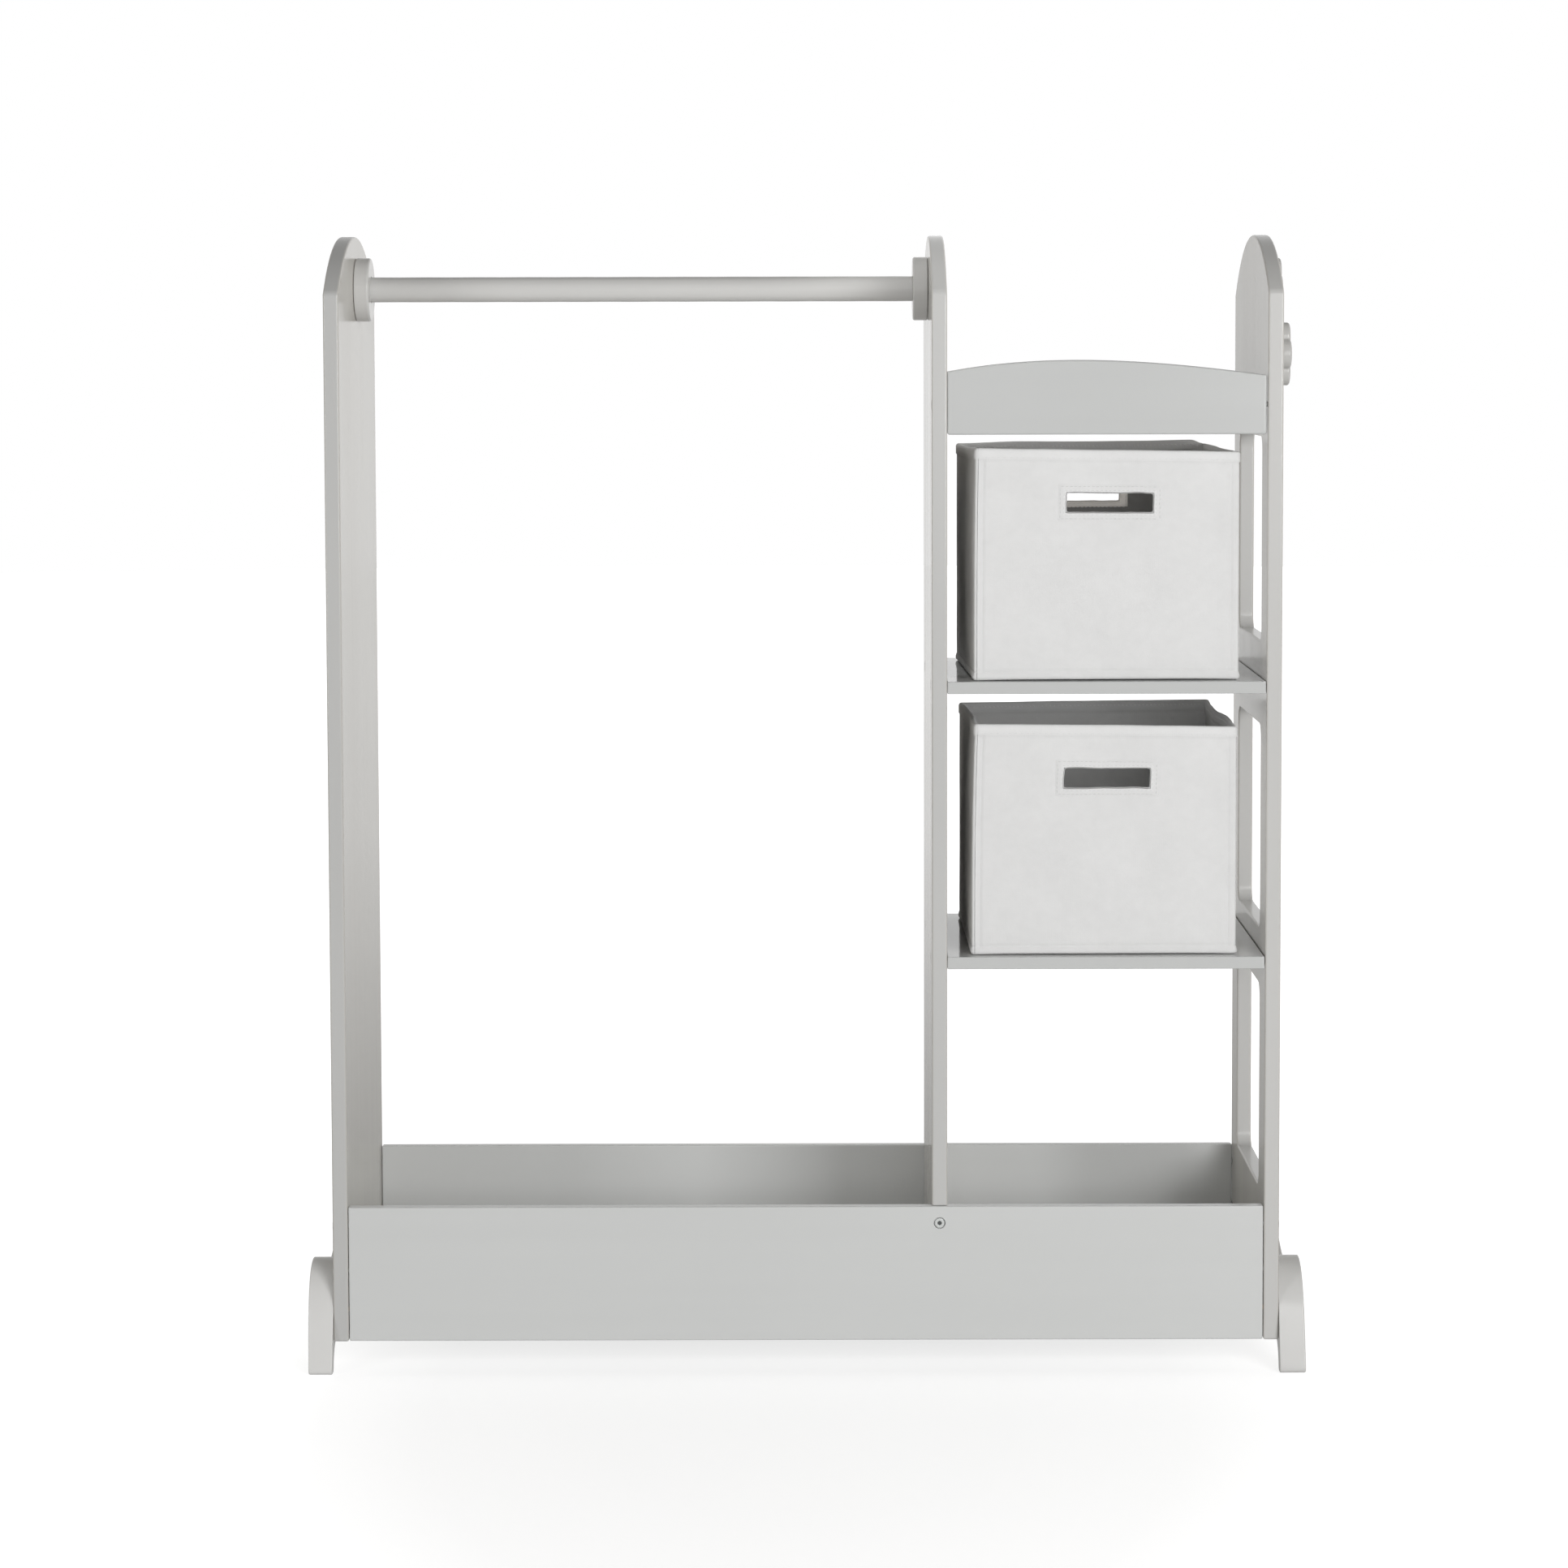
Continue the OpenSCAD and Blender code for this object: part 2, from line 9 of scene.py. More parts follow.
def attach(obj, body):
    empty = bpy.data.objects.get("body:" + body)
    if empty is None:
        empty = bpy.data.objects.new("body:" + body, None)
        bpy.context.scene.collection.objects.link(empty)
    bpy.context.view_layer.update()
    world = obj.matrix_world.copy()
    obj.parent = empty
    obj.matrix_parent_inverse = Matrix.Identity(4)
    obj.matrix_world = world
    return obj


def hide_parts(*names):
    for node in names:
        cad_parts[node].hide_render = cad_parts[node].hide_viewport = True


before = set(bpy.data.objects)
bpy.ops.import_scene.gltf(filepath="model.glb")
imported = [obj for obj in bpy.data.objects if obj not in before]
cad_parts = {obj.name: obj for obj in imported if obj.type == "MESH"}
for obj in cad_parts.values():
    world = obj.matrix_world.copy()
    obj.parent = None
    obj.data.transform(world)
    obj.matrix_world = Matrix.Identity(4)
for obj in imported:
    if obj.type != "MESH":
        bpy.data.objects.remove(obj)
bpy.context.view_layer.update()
MM = 0.001
scene = bpy.context.scene

# ------------------------------------------------------------------ materials


def new_material(name):
    m = bpy.data.materials.new(name)
    m.use_nodes = True
    nt = m.node_tree
    nt.nodes.clear()
    out = nt.nodes.new("ShaderNodeOutputMaterial")
    bsdf = nt.nodes.new("ShaderNodeBsdfPrincipled")
    nt.links.new(bsdf.outputs["BSDF"], out.inputs["Surface"])
    return m, nt, bsdf, out


def coords(nt, scale=(1, 1, 1), shift=(0, 0, 0), kind="Object"):
    tc = nt.nodes.new("ShaderNodeTexCoord")
    mp = nt.nodes.new("ShaderNodeMapping")
    mp.inputs["Scale"].default_value = scale
    mp.inputs["Location"].default_value = shift
    nt.links.new(tc.outputs[kind], mp.inputs["Vector"])
    return mp.outputs["Vector"]


def noise_tex(nt, vec, scale, detail=2.0, rough=0.5, dist=0.0):
    n = nt.nodes.new("ShaderNodeTexNoise")
    n.inputs["Scale"].default_value = scale
    n.inputs["Detail"].default_value = detail
    n.inputs["Roughness"].default_value = rough
    n.inputs["Distortion"].default_value = dist
    nt.links.new(vec, n.inputs["Vector"])
    return n.outputs["Fac"]


def spread(nt, fac, lo, hi, a=0.3, b=0.7):
    r = nt.nodes.new("ShaderNodeMapRange")
    r.inputs["From Min"].default_value = a
    r.inputs["From Max"].default_value = b
    r.inputs["To Min"].default_value = lo
    r.inputs["To Max"].default_value = hi
    nt.links.new(fac, r.inputs["Value"])
    return r.outputs["Result"]


def math_node(nt, op, a, b):
    n = nt.nodes.new("ShaderNodeMath")
    n.operation = op
    for i, v in enumerate((a, b)):
        if isinstance(v, (int, float)):
            n.inputs[i].default_value = v
        else:
            nt.links.new(v, n.inputs[i])
    return n.outputs[0]


def mix_colour(nt, fac, a, b):
    n = nt.nodes.new("ShaderNodeMix")
    n.data_type = "RGBA"
    n.inputs[6].default_value = (*a, 1)
    n.inputs[7].default_value = (*b, 1)
    nt.links.new(fac, n.inputs[0])
    return n.outputs[2]


def ramp(nt, socket, stops):
    r = nt.nodes.new("ShaderNodeValToRGB")
    nt.links.new(socket, r.inputs[0])
    cr = r.color_ramp
    cr.elements[0].position, cr.elements[1].position = stops[0][0], stops[-1][0]
    cr.elements[0].color, cr.elements[1].color = (*[stops[0][1]] * 3, 1), (*[stops[-1][1]] * 3, 1)
    for pos, v in stops[1:-1]:
        e = cr.elements.new(pos)
        e.color = (v, v, v, 1)
    return r.outputs[0]


def bump(nt, height, distance, strength=1.0, normal=None):
    b = nt.nodes.new("ShaderNodeBump")
    b.inputs["Distance"].default_value = distance
    b.inputs["Strength"].default_value = strength
    nt.links.new(height, b.inputs["Height"])
    if normal is not None:
        nt.links.new(normal, b.inputs["Normal"])
    return b.outputs["Normal"]


def paint(name, tint, grain, seed, rough=0.18, edge=(1, 1, 1), face=(1, 1, 1)):
    """Sprayed semi-gloss paint on board: soft shading, faint long streaks, fine orange peel.
    Faces that look along x take the face tint and the rest take the edge tint: a warm face tint is painted warm side
    light, and a darker edge tint is painted shade on the edges."""
    m, nt, bsdf, _ = new_material(name)
    stretch = {"x": (0.6, 14, 14), "y": (14, 0.6, 14), "z": (14, 14, 0.6)}[grain]
    fine = {"x": (5, 150, 150), "y": (150, 5, 150), "z": (150, 150, 5)}[grain]
    s = seed * 3.7
    cloud = noise_tex(nt, coords(nt, (1, 1, 1), (s, s * 0.7, -s)), 2.6, 2.0)
    streak = noise_tex(nt, coords(nt, stretch, (s, -s, s)), 1.0, 3.0, 0.6)
    fibre = noise_tex(nt, coords(nt, fine, (-s, s, s)), 1.0, 2.0, 0.6)
    both = math_node(nt, "ADD", math_node(nt, "MULTIPLY", cloud, 0.45), math_node(nt, "MULTIPLY", streak, 0.55))
    a = tuple(c * 0.98 for c in tint)
    b = tuple(min(1, c * 1.018) for c in tint)
    # tint by which way the face looks: painted side light on faces along x, painted shade on the edges
    geo = nt.nodes.new("ShaderNodeNewGeometry")
    sep = nt.nodes.new("ShaderNodeSeparateXYZ")
    nt.links.new(geo.outputs["True Normal"], sep.inputs[0])
    wide = math_node(nt, "ABSOLUTE", sep.outputs[0], 0.0)
    tone_and_painted_side_light = nt.nodes.new("ShaderNodeMix")
    tone_and_painted_side_light.data_type = "RGBA"
    tone_and_painted_side_light.blend_type = "MULTIPLY"
    tone_and_painted_side_light.inputs[0].default_value = 1.0
    nt.links.new(mix_colour(nt, spread(nt, both, 0, 1, 0.36, 0.64), a, b), tone_and_painted_side_light.inputs[6])
    nt.links.new(mix_colour(nt, wide, edge, face), tone_and_painted_side_light.inputs[7])
    nt.links.new(tone_and_painted_side_light.outputs[2], bsdf.inputs["Base Color"])
    nt.links.new(spread(nt, streak, rough - 0.02, rough + 0.03), bsdf.inputs["Roughness"])
    peel = noise_tex(nt, coords(nt), 420.0, 2.0, 0.5)
    n1 = bump(nt, peel, 0.00003)
    n2 = bump(nt, fibre, 0.000003, 1.0, n1)
    n3 = bump(nt, streak, 0.00001, 1.0, n2)
    nt.links.new(n3, bsdf.inputs["Normal"])
    bsdf.inputs["IOR"].default_value = 1.5
    return m


def metal(name, colour, rough, metallic=1.0):
    m, nt, bsdf, _ = new_material(name)
    fine = noise_tex(nt, coords(nt), 900.0, 3.0, 0.6)
    blot = noise_tex(nt, coords(nt), 140.0, 2.0, 0.5)
    a = tuple(c * (1 - 0.15 * metallic) for c in colour)
    nt.links.new(mix_colour(nt, spread(nt, blot, 0, 1), a, colour), bsdf.inputs["Base Color"])
    nt.links.new(spread(nt, fine, rough - 0.06, rough + 0.1), bsdf.inputs["Roughness"])
    nt.links.new(bump(nt, fine, 0.00002), bsdf.inputs["Normal"])
    bsdf.inputs["Metallic"].default_value = metallic
    return m


def wood(name):
    m, nt, bsdf, _ = new_material(name)
    ring = noise_tex(nt, coords(nt, (30, 260, 260)), 1.0, 4.0, 0.6, 0.4)
    fleck = noise_tex(nt, coords(nt, (120, 900, 900)), 1.0, 2.0)
    nt.links.new(mix_colour(nt, spread(nt, ring, 0, 1), (0.55, 0.37, 0.20), (0.74, 0.56, 0.36)), bsdf.inputs["Base Color"])
    nt.links.new(spread(nt, fleck, 0.5, 0.75), bsdf.inputs["Roughness"])
    nt.links.new(bump(nt, ring, 0.0001), bsdf.inputs["Normal"])
    return m


def mirror_face(name):
    m, nt, bsdf, _ = new_material(name)
    haze = noise_tex(nt, coords(nt), 6.0, 3.0)
    wave = noise_tex(nt, coords(nt), 5.0, 1.0)
    nt.links.new(mix_colour(nt, spread(nt, haze, 0, 1), (0.86, 0.875, 0.875), (0.90, 0.91, 0.905)), bsdf.inputs["Base Color"])
    nt.links.new(spread(nt, haze, 0.012, 0.03), bsdf.inputs["Roughness"])
    nt.links.new(bump(nt, wave, 0.00015), bsdf.inputs["Normal"])
    bsdf.inputs["Metallic"].default_value = 1.0
    return m


def fabric(name, colour, shade=0.965, clear=0.0, rough=0.88, weave=1.0, fold=True):
    """White bonded fabric. UVs are metres along and up the cloth."""
    m, nt, bsdf, out = new_material(name)
    uv = coords(nt, kind="UV")
    blot = noise_tex(nt, uv, 16.0, 3.0, 0.55)
    mid = noise_tex(nt, uv, 90.0, 3.0, 0.6)
    lint = noise_tex(nt, uv, 1500.0, 2.0, 0.6)
    waves = []
    for axis in ("X", "Y"):
        w = nt.nodes.new("ShaderNodeTexWave")
        w.wave_type = "BANDS"
        w.bands_direction = axis
        w.wave_profile = "SIN"
        w.inputs["Scale"].default_value = 2 * math.pi / (20 * 0.00135)
        w.inputs["Distortion"].default_value = 0.6
        w.inputs["Detail"].default_value = 1.0
        w.inputs["Detail Scale"].default_value = 1.0
        nt.links.new(uv, w.inputs["Vector"])
        waves.append(w.outputs["Fac"])
    cloth = math_node(nt, "MULTIPLY", waves[0], waves[1])
    tone = math_node(nt, "ADD", math_node(nt, "MULTIPLY", blot, 0.6), math_node(nt, "MULTIPLY", mid, 0.4))
    a = tuple(c * shade for c in colour)
    b = tuple(min(0.95, c * 1.02) for c in colour)
    nt.links.new(mix_colour(nt, spread(nt, tone, 0, 1, 0.35, 0.65), a, b), bsdf.inputs["Base Color"])
    nt.links.new(spread(nt, mid, rough - 0.06, rough + 0.04), bsdf.inputs["Roughness"])
    bsdf.inputs["Sheen Weight"].default_value = 0.08
    bsdf.inputs["Sheen Roughness"].default_value = 0.5
    bsdf.inputs["Specular IOR Level"].default_value = 0.25
    n1 = bump(nt, cloth, 0.00006 * weave)
    n2 = bump(nt, lint, 0.00004, 1.0, n1)
    n3 = bump(nt, mid, 0.00035 if fold else 0.0001, 1.0, n2)
    n4 = bump(nt, blot, 0.0012 if fold else 0.0002, 1.0, n3)
    nt.links.new(n4, bsdf.inputs["Normal"])
    if clear > 0:
        tr = nt.nodes.new("ShaderNodeBsdfTranslucent")
        tr.inputs["Color"].default_value = (0.985, 0.965, 0.94, 1)
        mx = nt.nodes.new("ShaderNodeMixShader")
        mx.inputs[0].default_value = clear
        nt.links.new(bsdf.outputs["BSDF"], mx.inputs[1])
        nt.links.new(tr.outputs["BSDF"], mx.inputs[2])
        nt.links.new(mx.outputs["Shader"], out.inputs["Surface"])
    return m


GREY = (0.612, 0.608, 0.594)
COOL = (0.596, 0.604, 0.598)
# warm tint for the wide faces of the panels and divider: painted warm side light
SIDE_LIGHT_WARMTH = (1.025, 1.0, 0.965)
# the darker edge tints of the left panel and the divider are painted shade on their edges
P_LEFT = paint("paint_left_panel", GREY, "z", 1, edge=(0.94, 0.945, 0.95), face=SIDE_LIGHT_WARMTH)
P_RIGHT = paint("paint_right_panel", GREY, "z", 2, face=SIDE_LIGHT_WARMTH)
P_DIV = paint("paint_divider", GREY, "z", 3, 0.12, edge=(0.965, 0.97, 0.975), face=SIDE_LIGHT_WARMTH)
P_TRAY = paint("paint_tray", (0.685, 0.694, 0.687), "x", 4)
# the tray back board is the tray paint made lighter: painted light on a board that sits in the tray's shade
P_TRAY_BACK_PAINTED_LIGHT = paint("paint_tray_back_painted_light", (0.725, 0.734, 0.727), "x", 11)
P_SHELF = paint("paint_shelves", COOL, "x", 5, 0.09)
P_VALANCE = paint("paint_valance", (0.578, 0.586, 0.58), "x", 9)
# the left foot is painted lighter than the right one: painted fill light on the less lit left foot
P_FOOT_L_PAINTED_FILL = paint("paint_left_foot_painted_fill", (0.80, 0.795, 0.78), "y", 6)
P_FOOT_R = paint("paint_right_foot", (0.675, 0.671, 0.657), "y", 10)
# the rod and flanges are painted lighter than the frame grey: painted light in place of a lamp highlight
P_ROD_PAINTED_LIGHT = paint("paint_rod_painted_light", (0.705, 0.70, 0.685), "x", 7, 0.17)
P_FLOWER = paint("paint_flowers", (0.575, 0.571, 0.557), "z", 8)
STEEL = metal("zinc_steel", (0.60, 0.60, 0.59), 0.32)
ZINC = metal("zinc_bolt_heads", (0.76, 0.78, 0.77), 0.36, 0.3)
# near-black colour for a plug in the hex sockets: painted shade in the recess
SOCKET_PAINTED_SHADE = metal("socket_painted_shade", (0.10, 0.105, 0.105), 0.5, 0.2)
WOOD = wood("dowel_wood")
MIRROR = mirror_face("mirror_face")
FABRIC = fabric("bin_fabric", (0.79, 0.79, 0.788))
TAPE = fabric("bin_tape", (0.815, 0.815, 0.813), 0.98, rough=0.8, weave=1.6, fold=False)
TAPE_THIN = fabric("bin_tape_thin", (0.83, 0.83, 0.828), 0.98, clear=0.96, rough=0.8, weave=1.6, fold=False)
# the upper bin's lining is darker than the lower bin's: painted shade inside the upper bin, under the valance
BIN_LININGS_WITH_PAINTED_SHADE = {"upper_bin": fabric("upper_bin_lining_painted_shade", (0.48, 0.476, 0.47)), "lower_bin": fabric("lower_bin_lining", (0.79, 0.788, 0.783))}
# the outer thread is darker than the cloth: painted shade of the stitch holes
THREAD_PAINTED_SHADE = fabric("bin_thread_painted_shade", (0.70, 0.70, 0.695), 0.95, rough=0.7, weave=0.5, fold=False)
THREAD_PALE = fabric("bin_inner_thread", (0.94, 0.94, 0.93), 0.95, rough=0.7, weave=0.5, fold=False)
INSERT = fabric("bin_base_fabric", (0.80, 0.80, 0.80), 0.96)

# ------------------------------------------------------------------ mesh tools


class Mesher:
    """Vertices in millimetres as (u, v, w), with exact normals. axis says which way w points."""

    def __init__(self, axis="z"):
        self.axis, self.co, self.no, self.faces, self.mats = axis, [], [], [], []

    def xyz(self, p):
        u, v, w = p
        return {"x": (w, u, v), "y": (u, w, v), "z": (u, v, w)}[self.axis]

    def ring(self, points, normals):
        start = len(self.co)
        self.co += [Vector(self.xyz(p)) for p in points]
        self.no += [Vector(self.xyz(n)).normalized() for n in normals]
        return list(range(start, len(self.co)))

    def face(self, idx, mat=0):
        a = Vector((0, 0, 0))
        for i in range(len(idx)):
            p, q = self.co[idx[i]], self.co[idx[(i + 1) % len(idx)]]
            a += p.cross(q)
        avg = Vector((0, 0, 0))
        for i in idx:
            avg += self.no[i]
        if a.dot(avg) < 0:
            idx = list(reversed(idx))
        self.faces.append(idx)
        self.mats.append(mat)

    def strip(self, a, b, mat=0):
        n = len(a)
        for i in range(n):
            self.face([a[i], a[(i + 1) % n], b[(i + 1) % n], b[i]], mat)

    def cap(self, loops, mat=0):
        """Fills the first loop, less the others."""
        flat = [i for lp in loops for i in lp]
        inv = {"x": (1, 2), "y": (0, 2), "z": (0, 1)}[self.axis]
        polys = [[Vector((self.co[i][inv[0]], self.co[i][inv[1]], 0)) for i in lp] for lp in loops]
        for t in tessellate_polygon(polys):
            self.face([flat[k] for k in t], mat)

    def build(self, name, mats, body, nodes=()):
        me = bpy.data.meshes.new(name)
        me.from_pydata([tuple(c * MM) for c in self.co], [], self.faces)
        for m in mats:
            me.materials.append(m)
        me.polygons.foreach_set("material_index", self.mats)
        me.polygons.foreach_set("use_smooth", [True] * len(self.faces))
        me.validate()
        me.normals_split_custom_set_from_vertices([tuple(n) for n in self.no])
        me.update()
        ob = bpy.data.objects.new(name, me)
        scene.collection.objects.link(ob)
        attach(ob, body)
        if nodes:
            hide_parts(*nodes)
        return ob


def rounded(corners, seg=6):
    """An outline through corners (x, y, radius)."""
    pts, n = [], len(corners)
    for i in range(n):
        x, y, r = corners[i]
        p = Vector((x, y))
        if r <= 0:
            pts.append(p)
            continue
        a = Vector(corners[i - 1][:2]) - p
        b = Vector(corners[(i + 1) % n][:2]) - p
        a.normalize()
        b.normalize()
        half = math.acos(max(-1, min(1, a.dot(b)))) / 2
        c = p + (a + b).normalized() * (r / math.sin(half))
        s, e = p + a * (r / math.tan(half)), p + b * (r / math.tan(half))
        t0 = math.atan2(s.y - c.y, s.x - c.x)
        d = math.atan2(e.y - c.y, e.x - c.x) - t0
        d = (d + math.pi) % (2 * math.pi) - math.pi
        for j in range(seg + 1):
            t = t0 + d * j / seg
            pts.append(c + Vector((math.cos(t), math.sin(t))) * r)
    return pts


def rect(x0, y0, x1, y1, r, seg=6):
    return rounded([(x0, y0, r), (x1, y0, r), (x1, y1, r), (x0, y1, r)], seg)


def sides(loop):
    """For each point of an outline: its mitre to the left and its outward normal."""
    n, res = len(loop), []
    for i in range(n):
        e1 = (loop[i] - loop[i - 1]).normalized()
        e2 = (loop[(i + 1) % n] - loop[i]).normalized()
        s = Vector((-e1.y, e1.x)) + Vector((-e2.y, e2.x))
        res.append((s * (2 / max(s.length_squared, 0.3)), -s.normalized()))
    return res


def eased(loop):
    """Adds a point just inside both ends of every long edge, so that the edge between them stays flat."""
    res = []
    for i, p in enumerate(loop):
        q = loop[(i + 1) % len(loop)]
        res.append(p)
        run = q - p
        if run.length > 12:
            step = run.normalized() * 2.6
            res += [p + step, q - step]
    return res


def slab(name, axis, outer, w0, w1, mats, body="frame", nodes=(),
         holes=(), r0=2.0, r1=2.0, pits0=(), pits1=(), seg=4, cap_mats=(0, 0)):
    """A board from w0 to w1 with rounded edges, holes through it and round pits in its faces.
    outer runs anticlockwise in (u, v); holes run clockwise; a pit is (u, v, radius, depth)."""
    m = Mesher(axis)
    caps = {0: [], 1: []}
    for loop in [eased(lp) for lp in (outer, *holes)]:
        sd = sides(loop)

        def ring(inset, w, phi, sign):
            pts = [(p.x + s[0].x * inset, p.y + s[0].y * inset, w) for p, s in zip(loop, sd)]
            c, z = math.sin(phi), sign * math.cos(phi)
            return m.ring(pts, [(s[1].x * c, s[1].y * c, z) for s in sd])

        rings = []
        for j in range(seg + 1):
            phi = math.pi / 2 * j / seg
            rings.append(ring(r0 * (1 - math.sin(phi)), w0 + r0 * (1 - math.cos(phi)), phi, -1))
        for j in range(seg, -1, -1):
            phi = math.pi / 2 * j / seg
            rings.append(ring(r1 * (1 - math.sin(phi)), w1 - r1 * (1 - math.cos(phi)), phi, 1))
        for a, b in zip(rings, rings[1:]):
            m.strip(a, b)
        caps[0].append(rings[0])
        caps[1].append(rings[-1])
    for end, pits, w, sign in ((0, pits0, w0, -1), (1, pits1, w1, 1)):
        for (u, v, r, depth) in pits:
            n = 36
            cs = [(math.cos(-2 * math.pi * i / n), math.sin(-2 * math.pi * i / n)) for i in range(n)]

            def pit_ring(rad, dw, nr, nw):
                return m.ring([(u + c * rad, v + s * rad, w - sign * dw) for c, s in cs],
                              [(-c * nr, -s * nr, sign * nw) for c, s in cs])

            rs = [pit_ring(r + 0.45, 0, 0, 1), pit_ring(r + 0.12, 0.13, 0.7, 0.7), pit_ring(r, 0.45, 1, 0),
                  pit_ring(r, depth - 0.3, 1, 0), pit_ring(r - 0.3, depth, 0, 1)]
            for a, b in zip(rs, rs[1:]):
                m.strip(a, b)
            m.cap([rs[-1]])
            caps[end].append(rs[0])
    m.cap(caps[0], cap_mats[0])
    m.cap(caps[1], cap_mats[1])
    return m.build(name, mats, body, nodes)


def turned(m, centre, axis_sign, profile, n=48, mat=0, shape=None):
    """Adds a turned form to m. profile is [(radius, w, normal radius, normal w)], w from centre along axis_sign."""
    u0, v0, w0 = centre
    prev = None
    for k, (r, w, nr, nw) in enumerate(profile):
        if r <= 1e-6:
            tip = m.ring([(u0, v0, w0 + axis_sign * w)], [(0, 0, axis_sign * nw)])[0]
            if prev is not None:
                for i in range(n):
                    m.face([prev[i], prev[(i + 1) % n], tip], mat)
            prev = ("tip", tip)
            continue
        pts, nrm = [], []
        for i in range(n):
            t = 2 * math.pi * i / n
            f = shape(k, t) if shape else 1.0
            pts.append((u0 + r * f * math.cos(t), v0 + r * f * math.sin(t), w0 + axis_sign * w))
            nrm.append((nr * math.cos(t), nr * math.sin(t), axis_sign * nw))
        cur = m.ring(pts, nrm)
        if prev is not None:
            if isinstance(prev, tuple):
                for i in range(n):
                    m.face([cur[i], cur[(i + 1) % n], prev[1]], mat)
            else:
                m.strip(prev, cur, mat)
        prev = cur


def edge_profile(r_out, w_edge, rad, sign, n=5):
    """Quarter round between a face at w_edge and a rim at radius r_out. sign is the way the face looks."""
    res = []
    for j in range(n + 1):
        p = math.pi / 2 * j / n
        res.append((r_out - rad * (1 - math.sin(p)), w_edge - sign * rad * (1 - math.cos(p)), math.sin(p), sign * math.cos(p)))
    return res


def bolt_profile(head, shank, length):
    """Countersunk bolt with a hexagon socket, its head's face at w = 0 and its shank towards -w."""
    return [
        (0, -2.9, 0, 1), (1.9, -2.9, 0, 1), (2.1, -2.75, -0.7, 0.7), (2.1, -0.25, -1, 0), (2.25, -0.02, -0.5, 0.8),
        (2.5, 0.0, 0, 1), (head - 1.0, 0.0, 0, 1), (head - 0.8, -0.07, 0.35, 0.94), (head - 0.65, -0.42, 0.95, 0.3),
        (head - 0.6, -0.75, 1, 0), (head - 0.75, -1.1, 0.7, -0.7), (shank + 0.15, -2.7, 0.7, -0.7), (shank, -3.2, 1, 0),
        (shank, -length + 0.8, 1, 0), (shank - 0.7, -length, 0, -1), (0, -length, 0, -1)]


def hex_shape(k, t):
    if k in (1, 2, 3):
        a = (t + math.pi / 6) % (math.pi / 3) - math.pi / 6
        return math.cos(math.pi / 6) / math.cos(a) * 1.06
    return 1.0


def bolts(name, node, axis, places):
    """places: (u, v, w of the panel's face, way the head looks, head radius, shank radius, length)."""
    m = Mesher(axis)
    for (u, v, w, sign, head, shank, length) in places:
        turned(m, (u, v, w - sign * 0.25), sign, bolt_profile(head, shank, length), 36, 0, hex_shape)
        # a dark plug down each hex socket: painted shade in the recess
        turned(m, (u, v, w - sign * 0.25), sign, [(0, -0.8, 0, 1), (2.06, -0.8, 0, 1), (2.06, -2.8, 1, 0), (0, -2.8, 0, -1)],
               36, 1, hex_shape)
    return m.build(name, [ZINC, SOCKET_PAINTED_SHADE], "frame", [node])


# ------------------------------------------------------------------ boards

XO, XI, YF, YB = 465.0, 450.0, -156.0, 156.0
SPRING, CROWN = 1058.0, 1117.0
ARC_R = (YB * YB + (CROWN - SPRING) ** 2) / (2 * (CROWN - SPRING))
ARC_C = CROWN - ARC_R
TZ0, TZ1 = 30.6, 163.6


def arch_points(n=56):
    a = math.asin(YB / ARC_R)
    return [Vector((ARC_R * math.sin(a - 2 * a * i / n), ARC_C + ARC_R * math.cos(a - 2 * a * i / n))) for i in range(n + 1)]


def panel_outline(z0):
    pts = rounded([(YF, z0, 2.2), (YB, z0, 2.2), (YB, 800, 0), (YF, 800, 0)], 5)
    lower = [p for p in pts if p.y < 700]
    left = lower[:6]
    right = lower[6:]
    return left + right + arch_points()


TRAY_BOLTS = [(y, z) for y in (-150, 150) for z in (100, 145)]
SHELF_BOLTS = [(y, z) for y in (-116, 104) for z in (404.2, 674.3)]
FOOT_BOLTS = [(y, 68) for y in (-98, 98)]
VAL = (-148.5, 949.7)

slab("left_side_panel_body", "x", panel_outline(30), -XO, -XI, [P_LEFT], nodes=["left_side_panel"],
     pits0=[(y, z, 5.15, 3) for y, z in TRAY_BOLTS + [(0, 1064)]],
     pits1=[(y, z, 5.15, 3) for y, z in FOOT_BOLTS])

windows = []
for z in (173, 431, 715.5):
    windows.append(list(reversed(rect(-104, z, 104, z + 201.5, 14, 12))))
slab("right_side_panel_body", "x", panel_outline(30), XI, XO, [P_RIGHT], nodes=["right_side_panel"], holes=windows,
     pits0=[(y, z, 5.15, 3) for y, z in FOOT_BOLTS],
     pits1=[(y, z, 5.15, 3) for y, z in TRAY_BOLTS + SHELF_BOLTS + [VAL]])

div = rounded([(-143.6, 44.9, 0), (143.6, 44.9, 0), (143.6, TZ1 + 0.4, 0), (YB, TZ1 + 0.4, 2.2), (YB, 800, 0)], 5)[:-1]
div += arch_points()
div += rounded([(YF, 800, 0), (YF, TZ1 + 0.4, 2.2), (-143.6, TZ1 + 0.4, 0), (-143.6, 44.9, 0)], 5)[1:-1]
slab("divider_panel_body", "x", div, 124, 139, [P_DIV], nodes=["divider_panel"], r0=2.0, r1=2.0,
     pits0=[(y, z, 5.15, 3) for y, z in SHELF_BOLTS + [VAL]],
     pits1=[(0, 1064, 5.15, 3)])

